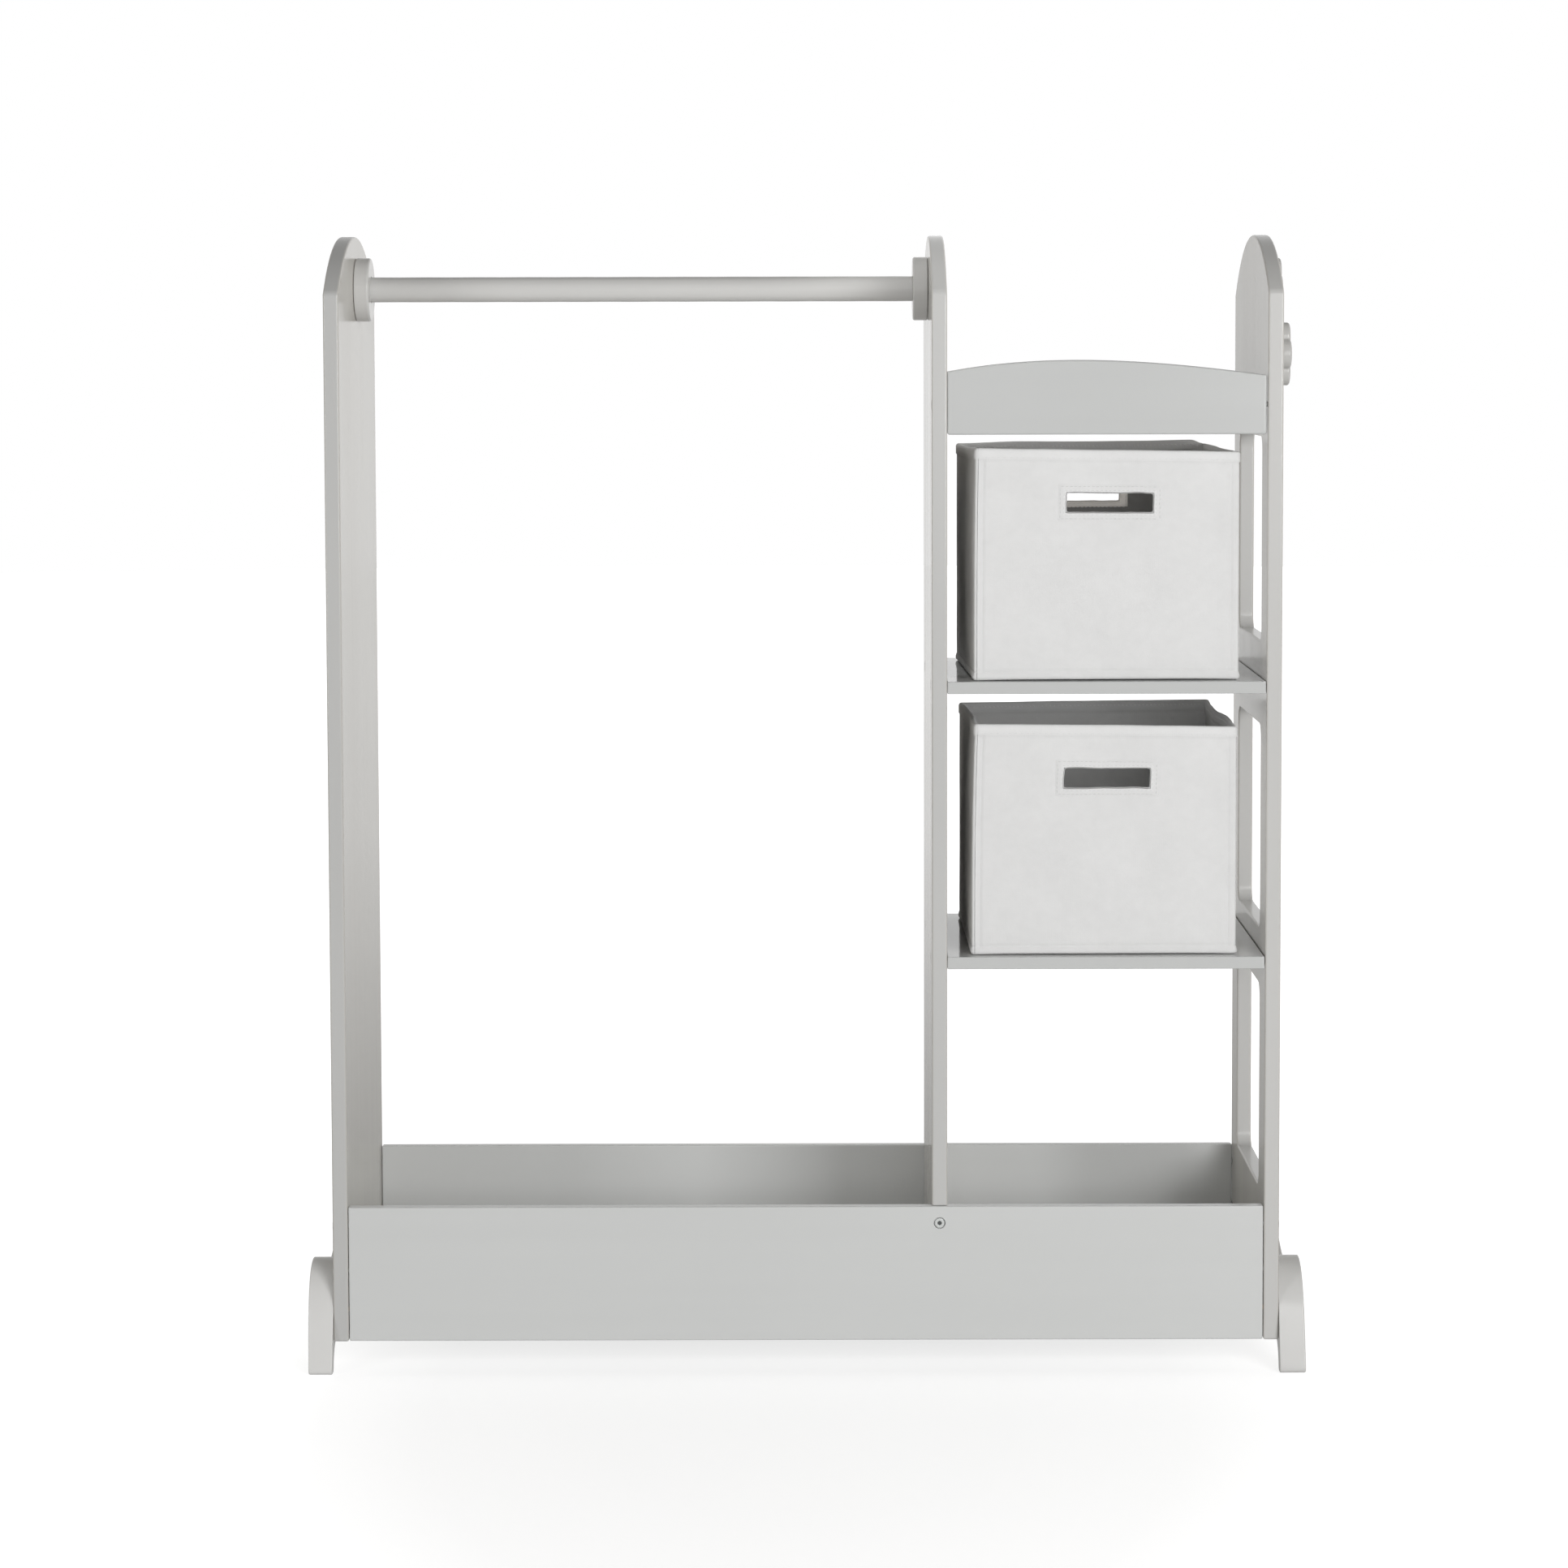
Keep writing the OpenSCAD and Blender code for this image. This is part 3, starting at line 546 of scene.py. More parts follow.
for nm, s in (("tray_front_board", -1), ("tray_back_board", 1)):
    w0, w1 = (YF, -144.0) if s < 0 else (144.0, YB)
    face_out = [(131.5, 147, 5.7, 3)]
    face_in = [(e * 428, z, 5.1, 2.2) for e in (-1, 1) for z in (100, 145)]
    slab(nm + "_body", "y", rect(-449.3, TZ0, 449.3, TZ1, 1.5, 4), w0, w1, [P_TRAY if s < 0 else P_TRAY_BACK_PAINTED_LIGHT], nodes=[nm], r0=1.5, r1=1.5,
         pits0=face_out if s < 0 else (), pits1=face_in if s < 0 else face_in + face_out)
slab("tray_floor_body", "z", rect(-449.9, -143.9, 449.9, 143.9, 0.6, 3), 38.6, 44.6, [P_TRAY], nodes=["tray_floor_board"], r0=0.5, r1=0.5, seg=2)
for nm, z in (("lower_shelf", 398.2), ("upper_shelf", 668.3)):
    slab(nm + "_body", "z", rect(139.25, YF, 449.4, 144, 1.2, 4), z, z + 12, [P_SHELF], nodes=[nm], r0=0.9, r1=1.0,
         pits0=[(x, y, 5.1, 2.2) for x in (161, 428) for y in (-116, 104)])

r_val = (155.5 ** 2 + 13.7 ** 2) / (2 * 13.7)
val_c = 991.7 - r_val
val = [Vector((139.3, 922.2)), Vector((140.8, 920.7)), Vector((447.1, 920.7)), Vector((448.6, 922.2))]
for a in (0, 30, 60):
    val.append(Vector((446.0 + 2.6 * math.cos(math.radians(a)), 975.9 + 2.6 * math.sin(math.radians(a)))))
for i in range(41):
    x = 446.0 - (446.0 - 139.3) * i / 40
    u = (x - 294.3) / 155.0
    # the arch is a little fuller towards the divider
    val.append(Vector((x, val_c + math.sqrt(r_val ** 2 - (x - 294.5) ** 2) + 3.06 * u ** 3 + 1.16 * u * u - 5.0 * u + 0.7)))
slab("valance_board_body", "y", val, YF, YF + 15, [P_VALANCE], nodes=["valance_board"], r0=1.8, r1=1.8,
     pits1=[(161, 949.7, 5.1, 3.2), (428, 949.7, 5.1, 3.2)])

# ------------------------------------------------------------------ feet


def bez(p0, p1, p2, p3, n):
    res = []
    for i in range(n):
        t = i / n
        a, b, c, d = (1 - t) ** 3, 3 * (1 - t) ** 2 * t, 3 * (1 - t) * t * t, t ** 3
        res.append(Vector((a * p0[0] + b * p1[0] + c * p2[0] + d * p3[0], a * p0[1] + b * p1[1] + c * p2[1] + d * p3[1])))
    return res


def foot_outline():
    """Anticlockwise in (Y, Z): underside from the front toe to the back one, then over the top."""
    front = bez((-14.6, 5.5), (-5, 45), (3, 103), (50, 103), 30) + bez((50, 103), (66, 103), (98, 70), (156, 70), 26)
    under = bez((1.0, 5.5), (4, 21.6), (22, 36), (64, 36), 24) + [Vector((64, 36)), Vector((110, 36))]
    toe_front = rounded([(-14.6, 5.5, 0), (-15.3, 0, 4.6), (-0.6, 0, 4.2), (1.0, 5.5, 0)], 7)[1:-1]
    half = list(reversed([Vector((p.x + YF, p.y)) for p in front]))
    toe = [Vector((p.x + YF, p.y)) for p in toe_front]
    und = [Vector((p.x + YF, p.y)) for p in under]
    first = toe + und
    back = [Vector((-p.x, p.y)) for p in reversed(first)]
    top_back = [Vector((-p.x, p.y)) for p in reversed(half)]
    loop = first + back + top_back + [Vector((0, 70))] + half
    res = []
    for p in loop:
        if not res or (p - res[-1]).length > 0.25:
            res.append(p)
    if (res[0] - res[-1]).length < 0.25:
        res.pop()
    return res


for foot, s, low, high in ((slab("left_foot_body", "x", foot_outline(), -489, -465.15, [P_FOOT_L_PAINTED_FILL], nodes=["left_foot"],
                                 r0=1.4, r1=0.8, seg=6), -1, -0.8, 1.5),
                           (slab("right_foot_body", "x", foot_outline(), 465.15, 489, [P_FOOT_R], nodes=["right_foot"],
                                 r0=0.8, r1=1.4, seg=6), 1, 1.6, 0.9)):
    # the outer faces are not quite square to the floor
    for v in foot.data.vertices:
        out = (abs(v.co.x) - 0.46515) / 0.02385
        v.co.x += s * out * (low + (high - low) * v.co.z / 0.103) * MM

# ------------------------------------------------------------------ rod, flanges, pegs, mirror

m = Mesher("x")
rod = [(0, 0, 0, -1), (11.5, 0, 0, -1), (12.5, 1.0, 1, 0)]
rod += [(12.5 + 0.06 * math.sin(i * 1.7), 1 + 566 * i / 40, 1, 0) for i in range(1, 40)]
rod += [(12.5, 567, 1, 0), (11.5, 568, 0, 1), (0, 568, 0, 1)]
turned(m, (0, 1064, -447), 1, rod, 72)
m.build("clothes_rod_body", [P_ROD_PAINTED_LIGHT], "frame", ["clothes_rod"])

for nm, x, s in (("left_rod_flange", -450.0, 1), ("right_rod_flange", 124.0, -1)):
    m = Mesher("x")
    prof = [(0, 0.25, 0, -1), (20, 0.25, 0, -1)] + edge_profile(31.75, 0.25, 1.2, -1, 4)
    prof += list(reversed(edge_profile(31.75, 15.0, 2.2, 1, 6)))
    prof += [(14.2, 15.0, 0, 1), (13.3, 14.85, -0.5, 0.85), (12.85, 14.3, -1, 0), (12.85, 3.2, -1, 0), (12.4, 2.9, 0, 1), (0, 2.9, 0, 1)]
    turned(m, (0, 1064, x), s, prof, 96)
    m.build(nm + "_body", [P_ROD_PAINTED_LIGHT], "frame", [nm])


def flower_outline(y0, z0, d=17.35, rad=14.5, n=26):
    pts = []
    for k in range(5):
        mid = math.pi + 2 * math.pi * k / 5
        for i in range(n):
            a = -math.pi / 5 + 2 * math.pi / 5 * i / n
            r = d * math.cos(a) + math.sqrt(rad * rad - (d * math.sin(a)) ** 2)
            pts.append(Vector((y0 + r * math.cos(mid + a), z0 + r * math.sin(mid + a))))
    return pts


for nm, y, z in (("front_flower_peg", -78, 998), ("middle_flower_peg", 0, 1063), ("rear_flower_peg", 78, 998)):
    slab(nm + "_body", "x", flower_outline(y, z), XO + 0.15, XO + 13.5, [P_FLOWER], nodes=[nm],
         r0=0.8, r1=2.8, seg=6)

mc = 1030 - 200
spring_m = mc + math.sqrt(200 ** 2 - 118 ** 2)
mir = rounded([(-118, 190, 14), (118, 190, 14), (118, 800, 0), (-118, 800, 0)], 10)
mir = [p for p in mir if p.y < 700]
am = math.asin(118 / 200)
mir += [Vector((200 * math.sin(am - 2 * am * i / 48), mc + 200 * math.cos(am - 2 * am * i / 48))) for i in range(49)]
slab("side_mirror_sheet", "x", mir, -468, -465.1, [P_FLOWER, MIRROR], nodes=["side_mirror"],
     r0=0.5, r1=0.2, seg=3, cap_mats=(1, 0))

m = Mesher("x")
for y in (-106, 106):
    for z in (206, 590, 968):
        prof = [(0, -12, 0, -1), (1.3, -12, 0, -1), (1.5, -11.5, 1, 0), (1.5, -0.2, 1, 0), (1.7, 0.0, 0, -1), (3.7, 0.0, 0, -1), (4.2, 0.35, 1, -0.2)]
        for j in range(1, 8):
            p = math.pi / 2 * j / 8
            prof.append((4.2 * math.cos(p), 0.35 + 1.85 * math.sin(p), math.cos(p) * 0.5, math.sin(p)))
        prof.append((0, 2.2, 0, 1))
        turned(m, (y, z, -468), -1, prof, 36)
m.build("mirror_screw_caps", [STEEL], "frame", ["mirror_screws"])

bolts("tray_bolt_heads", "tray_bolts", "x",
      [(y, z, -XO, -1, 4.75, 2.5, 44) for y, z in TRAY_BOLTS] + [(y, z, XO, 1, 4.75, 2.5, 44) for y, z in TRAY_BOLTS])
bolts("shelf_bolt_heads", "shelf_bolts", "x",
      [(y, z, 124, -1, 4.75, 2.5, 44) for y, z in SHELF_BOLTS] + [(y, z, XO, 1, 4.75, 2.5, 44) for y, z in SHELF_BOLTS])
bolts("valance_bolt_heads", "valance_bolts", "x", [(*VAL, 124, -1, 4.75, 2.5, 44), (*VAL, XO, 1, 4.75, 2.5, 44)])
bolts("rod_bolt_heads", "rod_bolts", "x", [(0, 1064, -XO, -1, 4.75, 2.5, 31), (0, 1064, 139, 1, 4.75, 2.5, 31)])
bolts("divider_bolt_heads", "divider_bolts", "y", [(131.5, 147, YF, -1, 5.25, 2.5, 46), (131.5, 147, YB, 1, 5.25, 2.5, 46)])
bolts("foot_bolt_heads", "foot_bolts", "x",
      [(y, z, -XI, 1, 4.75, 2.5, 30) for y, z in FOOT_BOLTS] + [(y, z, XI, -1, 4.75, 2.5, 30) for y, z in FOOT_BOLTS])

# ------------------------------------------------------------------ fabric bins

SIDE_N = [Vector((0, -1)), Vector((1, 0)), Vector((0, 1)), Vector((-1, 0))]
SIDE_D = [Vector((1, 0)), Vector((0, 1)), Vector((-1, 0)), Vector((0, -1))]


def between(marks, step):
    res = [marks[0]]
    for a, b in zip(marks, marks[1:]):
        n = max(1, round(abs(b - a) / step))
        res += [a + (b - a) * i / n for i in range(1, n + 1)]
    return res


def along(marks, t):
    """A smooth line through (t, value) marks."""
    if t <= marks[0][0]:
        return marks[0][1]
    for (t0, v0), (t1, v1) in zip(marks, marks[1:]):
        if t <= t1:
            q = (t - t0) / (t1 - t0)
            return v0 + (v1 - v0) * q * q * (3 - 2 * q)
    return marks[-1][1]


class Bin:
    """A stiff-walled fabric bin: one wall sheet with two faces, lofted round the box and over the rim."""

    W, H, R, T = 130.0, 226.0, 3.5, 3.6
    L = 126.5

    def __init__(self, cx, z0, turn, rim, lift, bulge, lean, bow, creases, seed, aside):
        self.cx, self.cy, self.z0, self.turn, self.aside = cx, -11.0, z0, math.radians(turn), aside
        self.rim, self.lift, self.bulge, self.seed = rim, lift, bulge, seed
        self.lean, self.bow, self.creases = [Vector(v) for v in lean], bow, creases

    def shift(self, k, t, z):
        """How far the wall stands out of its flat plane."""
        q = min(1.0, abs(t) / self.L)
        h = max(0.0, min(1.0, z / self.H))
        d = self.bulge[k] * (1 - q ** 2.5) * math.sin(math.pi * min(1, h * 0.9 + 0.05))
        d += self.bow[k] * (1 - q * q) * h ** 4
        fall = min(1.0, (self.L - abs(t)) / 22.0) * min(1.0, 0.15 + z / 30.0)
        n = noise.noise(Vector((t * 0.016, z * 0.013, k * 5.3 + self.seed)))
        n2 = noise.noise(Vector((t * 0.045, z * 0.04, k * 9.1 - self.seed)))
        return d + fall * (1.5 * n + 0.35 * n2)

    def height(self, k, t, z, arc=None):
        if arc is None:
            q = min(1.0, abs(t) / self.L)
            top = along(self.rim[k], t)
            low = self.lift[k] * (1 - q ** 6)
        else:
            top, low = self.rim[k][-1][1], 0.0
        h = z / self.H
        return z + top * max(0, h) ** 2.2 + low * max(0, 1 - h) ** 3

    def feature(self, k, t, z, outer, arc=None):
        """Small raised and sunk details, in millimetres out of the cloth."""
        d = 0.0
        if arc is None:
            if abs(abs(t) - 121.6) < 0.3 and 8.0 < z < 214.9:
                d -= 0.5 if outer else 0.25
            if outer and abs(t) > 122.3 and z < 215:
                d -= 0.42 * min(1.0, (abs(t) - 122.0) / 4.0)
            if k in (0, 2):
                du, dv = abs(t) - 43.0, max(164.0 - z, z - 184.0)
                e = max(du, dv)
                if e <= 0.2:
                    d += 0.6
                elif e <= 2.4:
                    d += 0.42
                elif e <= 7.6:
                    d += 0.24
                elif e <= 8.5 and outer:
                    d -= 0.16
            if outer:
                for (side, t0, z0, t1, z1, wide, deep) in self.creases:
                    if side == k:
                        ax, az = t1 - t0, z1 - z0
                        ln = math.hypot(ax, az)
                        u = ((t - t0) * ax + (z - z0) * az) / ln
                        v = ((t - t0) * az - (z - z0) * ax) / ln
                        end = max(0.0, min(1.0, u / (0.3 * ln), (ln - u) / (0.3 * ln)))
                        d += deep * end * (math.exp(-(v / wide) ** 2) - 0.6 * math.exp(-((v - 1.6 * wide) / wide) ** 2))
        elif outer and z < 215:
            d -= 0.42 * (1 - math.sin(math.pi * arc))
        if outer:
            tt = t if arc is None else self.L + arc * 6
            if abs(z - 8.3) < 0.35 and (arc is not None or abs(t) < 122.3):
                d -= 0.5
            if z < 7.7:
                lump = noise.noise(Vector((tt * 0.07, k * 3.1, self.seed * 2.3)))
                near = math.exp(-((self.L - abs(tt)) / 16.0) ** 2)
                d += math.sin(math.pi * max(0.0, min(1.0, (z + 1.5) / 9.5))) * (0.55 + 0.5 * lump + 0.7 * near)
        if z > 215.3:
            d += 0.72
        return d

    def ragged(self, k, t, z):
        """The hand slots are cut by hand: their edges wander a little."""
        if k not in (0, 2) or abs(t) > 54 or abs(z - 174) > 22:
            return 0.0, 0.0
        near = max(0.0, 1 - max(0.0, abs(t) - 44) / 10) * max(0.0, 1 - max(0.0, abs(z - 174) - 11) / 10)
        side = 1.0 if z > 174 else -1.0
        dz = near * 0.75 * noise.noise(Vector((t * 0.055, side * 3.0, self.seed + k))) * min(1.0, abs(z - 174) / 6)
        dt = near * 0.8 * noise.noise(Vector((z * 0.12, math.copysign(5.0, t), self.seed - k))) * min(1.0, abs(t) / 20)
        return dt, dz

    def point(self, k, t, z, off, arc=None, outer=True):
        """Row-frame point, in metres. off is measured out from the outer face of the wall."""
        rad = max(0.6, self.R + off)
        ctr = self.W + off - rad
        h = max(0.0, z / self.H) ** 3
        if arc is None:
            dt, dz = self.ragged(k, t, z)
            if k in (0, 2):
                dt += self.aside[k // 2] * (1 - min(1.0, abs(t) / 114.0) ** 3)
            o = self.W + off + self.shift(k, t, z)
            p = SIDE_N[k] * o + SIDE_D[k] * max(-ctr, min(ctr, t + dt))
            zz = self.height(k, t, z) + dz
            s = (t + self.L) / (2 * self.L)
            p += (self.lean[k] * (1 - s) + self.lean[(k + 1) % 4] * s) * h
        else:
            a = math.pi / 2 * arc
            n = SIDE_N[k] * math.cos(a) + SIDE_D[k] * math.sin(a)
            p = (SIDE_N[k] + SIDE_D[k]) * ctr + n * rad
            zz = self.height(k, t, z, arc)
            p += self.lean[(k + 1) % 4] * h
        c, s = math.cos(self.turn), math.sin(self.turn)
        return Vector((self.cx + p.x * c - p.y * s, self.cy + p.x * s + p.y * c, self.z0 + zz)) * MM

    def shell(self, name, lining):
        H, T, L = self.H, self.T, self.L
        half = between([0, 43, 44, 45.2, 45.8, 50.4, 51.0, 51.6, 121.0, 121.6, 122.2, 126.5], 3.4)
        ts = [-t for t in reversed(half[1:])] + half
        cols = []
        for k in range(4):
            cols += [(k, t, None) for t in ts]
            cols += [(k, L, j / 7) for j in range(1, 7)]
        slot = [155.4, 156.0, 156.6, 158.4, 161.2, 161.8, 163, 164, 184, 185, 186.2, 186.8, 189.6, 191.4, 192.0, 192.6]
        marks = [2.5, 4.5, 6.5, 7.6, 8.3, 9.0, *slot, 214.8, 215.6, 223.4]
        zs = between(marks, 3.4)
        zi = between([4.6, *slot, 214.8, 215.6, 223.4], 3.4)
        rows = []  # (z, off, outer, kind)
        rows += [(0.0, -2.5, True, "b"), (0.34, -1.25, True, "b"), (1.25, -0.34, True, "b")]
        rows += [(z, 0.0, True, "o") for z in zs]
        rr = T / 2 + 0.5
        zc = 223.4
        for j in range(1, 8):
            a = math.pi * j / 8
            rows.append((zc + 2.6 * math.sin(a), -T / 2 + rr * math.cos(a), True, "r"))
        rows += [(z, -T, False, "i") for z in reversed(zi)]
        verts, uvs = [], []
        grid = []
        peri = []
        run = 0.0
        for i, (k, t, arc) in enumerate(cols):
            if i:
                k0, t0, a0 = cols[i - 1]
                run += abs(t - t0) if (arc is None and a0 is None and k == k0) else self.R * math.pi / 14
            peri.append(run)
        v = 0.0
        for ri, (z, off, outer, kind) in enumerate(rows):
            if ri:
                v += math.hypot(z - rows[ri - 1][0], off - rows[ri - 1][1])
            line = []
            for ci, (k, t, arc) in enumerate(cols):
                f = self.feature(k, t, z, outer, arc) if kind in "oib" else 0.0
                o = off + (f if outer else -f)
                line.append(len(verts))
                verts.append(self.point(k, t, z, o, arc))
                uvs.append((peri[ci] * MM, v * MM))
            grid.append(line)
        faces, mats = [], []
        n = len(cols)

        def is_hole(ci, ri):
            (k, t, arc), (k2, t2, arc2) = cols[ci], cols[(ci + 1) % n]
            if k not in (0, 2) or arc is not None or arc2 is not None or k != k2:
                return False
            za, zb = rows[ri][0], rows[ri + 1][0]
            return (rows[ri][3] in "oi" and rows[ri + 1][3] in "oi" and rows[ri][3] == rows[ri + 1][3]
                    and min(t, t2) > -43.2 and max(t, t2) < 43.2 and min(za, zb) > 163.8 and max(za, zb) < 184.2)

        def tape_at(ci, ri):
            (k, t, arc), (k2, t2, arc2) = cols[ci], cols[(ci + 1) % n]
            if min(rows[ri][0], rows[ri + 1][0]) > 215.2:
                return 1
            if rows[ri][3] == "i" and rows[ri + 1][3] == "i" and (k not in (0, 2) or k != k2 or arc is not None or arc2 is not None):
                return 3
            if arc is not None or arc2 is not None or k not in (0, 2) or k != k2 or rows[ri][3] not in "oi":
                return 0
            za, zb = rows[ri][0], rows[ri + 1][0]
            if min(t, t2) > -51.7 and max(t, t2) < 51.7 and min(za, zb) > 155.3 and max(za, zb) < 192.7:
                if k == 2 and min(t, t2) > -51.1 and max(t, t2) < 51.1 and min(za, zb) > 158.3 and max(za, zb) < 189.7:
                    return 2
                if k == 2:
                    return 0 if rows[ri][3] == "o" else 3
                return 3 if rows[ri][3] == "i" else 1 if min(t, t2) > -45.9 and max(t, t2) < 45.9 and min(za, zb) > 161.1 and max(za, zb) < 186.9 else 0
            return 3 if rows[ri][3] == "i" else 0

        for ri in range(len(rows) - 1):
            for ci in range(n):
                if is_hole(ci, ri):
                    continue
                a, b = grid[ri][ci], grid[ri][(ci + 1) % n]
                c, d = grid[ri + 1][(ci + 1) % n], grid[ri + 1][ci]
                faces.append((a, b, c, d))
                mats.append(tape_at(ci, ri))
        # binding round the two hand slots
        out_rows = [i for i, r in enumerate(rows) if r[3] == "o" and 163.9 < r[0] < 184.1]
        in_rows = [i for i, r in enumerate(rows) if r[3] == "i" and 163.9 < r[0] < 184.1]
        in_rows = sorted(in_rows, key=lambda i: rows[i][0])
        for k in (0, 2):
            cs = [ci for ci, c in enumerate(cols) if c[0] == k and c[2] is None and abs(c[1]) < 43.1]
            path = [(0, c) for c in range(len(cs))]
            path += [(r, len(cs) - 1) for r in range(1, len(out_rows))]
            path += [(len(out_rows) - 1, c) for c in range(len(cs) - 2, -1, -1)]
            path += [(r, 0) for r in range(len(out_rows) - 2, 0, -1)]
            outer_ring = [grid[out_rows[r]][cs[c]] for r, c in path]
            inner_ring = [grid[in_rows[r]][cs[c]] for r, c in path]
            rings = [outer_ring]
            for j in range(1, 6):
                a = math.pi * j / 6
                ring = []
                for q, (r, c) in enumerate(path):
                    t, z = cols[cs[c]][1], rows[out_rows[r]][0]
                    dt = -1 if t > 42.9 else 1 if t < -42.9 else 0
                    dz = 1 if z < 164.1 else -1 if z > 183.9 else 0
                    g = 0.9 * math.sin(a) * (1.0 + 0.25 * noise.noise(Vector((t * 0.12, z * 0.12, self.seed))))
                    if dt and dz:
                        g *= 1.5
                    off = -T / 2 + (T / 2 + 0.6) * math.cos(a)
                    ring.append(len(verts))
                    verts.append(self.point(k, t + dt * g, z + dz * g, off))
                    uvs.append((q * 0.004, 0.5 + j * 0.0008))
                rings.append(ring)
            rings.append(inner_ring)
            for a, b in zip(rings, rings[1:]):
                for q in range(len(path)):
                    q2 = (q + 1) % len(path)
                    faces.append((a[q], b[q], b[q2], a[q2]))
                    mats.append(1 if k == 0 else 2)
        # closed underside and inner floor
        for ri, z, off, flip in ((0, 0.0, -14.0, True), (len(rows) - 1, 4.0, -T - 1.2, False)):
            edge = grid[ri]
            ring = []
            for ci, (k, t, arc) in enumerate(cols):
                ring.append(len(verts))
                rad = max(0.6, self.R + off)
                ctr = self.W + off - rad
                if arc is None:
                    p = SIDE_N[k] * (self.W + off) + SIDE_D[k] * (t / L * ctr)
                else:
                    a = math.pi / 2 * arc
                    nrm = SIDE_N[k] * math.cos(a) + SIDE_D[k] * math.sin(a)
                    p = (SIDE_N[k] + SIDE_D[k]) * ctr + nrm * rad
                c, s = math.cos(self.turn), math.sin(self.turn)
                verts.append(Vector((self.cx + p.x * c - p.y * s, self.cy + p.x * s + p.y * c, self.z0 + z)) * MM)
                uvs.append((p.x * MM, p.y * MM))
            for ci in range(n):
                f = (edge[ci], edge[(ci + 1) % n], ring[(ci + 1) % n], ring[ci])
                faces.append(tuple(reversed(f)) if flip else f)
                mats.append(0)
            mid = len(verts)
            verts.append(Vector((self.cx, self.cy, self.z0 + z)) * MM)
            uvs.append((0, 0))
            for ci in range(n):
                f = (ring[ci], ring[(ci + 1) % n], mid)
                faces.append(tuple(reversed(f)) if flip else f)
                mats.append(0)
        me = bpy.data.meshes.new(name)
        me.from_pydata([tuple(p) for p in verts], [], faces)
        for mt in (FABRIC, TAPE, TAPE_THIN, lining):
            me.materials.append(mt)
        me.polygons.foreach_set("material_index", mats)
        me.polygons.foreach_set("use_smooth", [True] * len(faces))
        layer = me.uv_layers.new(name="cloth")
        for lp in me.loops:
            layer.data[lp.index].uv = uvs[lp.vertex_index]
        me.validate()
        me.update()
        ob = bpy.data.objects.new(name, me)
        scene.collection.objects.link(ob)
        return ob

    def stitches(self, name):
        """Rows of thread along the hem, the corners and round the hand slots."""
        runs = []
        rnd = random.Random(self.seed)
        T = self.T
        for k in range(4):
            for outer in (True, False):
                zrow = 217.4 if outer else 221.2
                t = -121.0
                while t < 118:
                    runs.append((k, t, zrow, t + (3.6 if outer else 1.9), zrow, outer, 0.5))
                    t += 5.8 if outer else 4.2
        for k in (0, 2):
            for outer in (True, False):
                for (a, b) in ((48.8, 189.8), (45.0, 186.0)):
                    lo = 348 - b
                    for z in (lo, b):
                        t = -a + 0.6
                        while t < a - 3:
                            runs.append((k, t, z, t + 3.0, z, outer, 0.24))
                            t += 4.3
                    for t in (-a, a):
                        z = lo + 0.8
                        while z < b - 2.5:
                            runs.append((k, t, z, t, z + 2.8, outer, 0.24))
                            z += 4.3
        verts, faces, uvs, mats = [], [], [], []
        for (k, t0, z0, t1, z1, outer, up) in runs:
            # outer stitches take the darker thread, painted shade of their holes
            mats += [0 if outer else 1] * 32
            j = rnd.uniform(-0.25, 0.25)
            if outer:
                off = up + 0.02
            else:
                off = -T - up - 0.02
            if z0 == z1:
                z0 += j * 0.5
                z1 += j * 0.5
            a, b = self.point(k, t0 + j, z0, off), self.point(k, t1 + j, z1, off)
            d = (b - a).normalized()
            n2 = SIDE_N[k]
            c, s = math.cos(self.turn), math.sin(self.turn)
            n = Vector((n2.x * c - n2.y * s, n2.x * s + n2.y * c, 0))
            e = d.cross(n).normalized()
            n = e.cross(d).normalized()
            length = (b - a).length
            wide = (0.2 if z0 > 215 else 0.26) if outer or z0 < 215 else 0.7
            for q, (u, w, h) in enumerate(((0.0, 0.3, -0.15), (0.12, 0.8, 0.0), (0.3, 1.0, 0.06), (0.7, 1.0, 0.06), (0.88, 0.8, 0.0), (1.0, 0.3, -0.15))):
                w *= wide
                for i in range(6):
                    an = 2 * math.pi * i / 6
                    verts.append(a + d * (length * u) + e * (w * MM * math.cos(an)) + n * ((w * math.sin(an) + (h if outer else -h)) * MM))
                    uvs.append((u * 0.01, i * 0.001))
            base = len(verts) - 36
            for q in range(5):
                for i in range(6):
                    faces.append((base + q * 6 + i, base + q * 6 + (i + 1) % 6, base + q * 6 + 6 + (i + 1) % 6, base + q * 6 + 6 + i))
            faces.append(tuple(base + i for i in reversed(range(6))))
            faces.append(tuple(base + 30 + i for i in range(6)))
        me = bpy.data.meshes.new(name)
        me.from_pydata([tuple(p) for p in verts], [], faces)
        me.materials.append(THREAD_PAINTED_SHADE)
        me.materials.append(THREAD_PALE)
        me.polygons.foreach_set("material_index", mats)
        me.polygons.foreach_set("use_smooth", [True] * len(faces))
        layer = me.uv_layers.new(name="cloth")
        for lp in me.loops:
            layer.data[lp.index].uv = uvs[lp.vertex_index]
        me.validate()
        me.update()
        ob = bpy.data.objects.new(name, me)
        scene.collection.objects.link(ob)
        return ob

    def base(self, name):
        me_pts = rect(-125, -125, 125, 125, 5, 6)
        c, s = math.cos(self.turn), math.sin(self.turn)
        loop = [Vector((self.cx + p.x * c - p.y * s, self.cy + p.x * s + p.y * c)) for p in me_pts]
        return loop


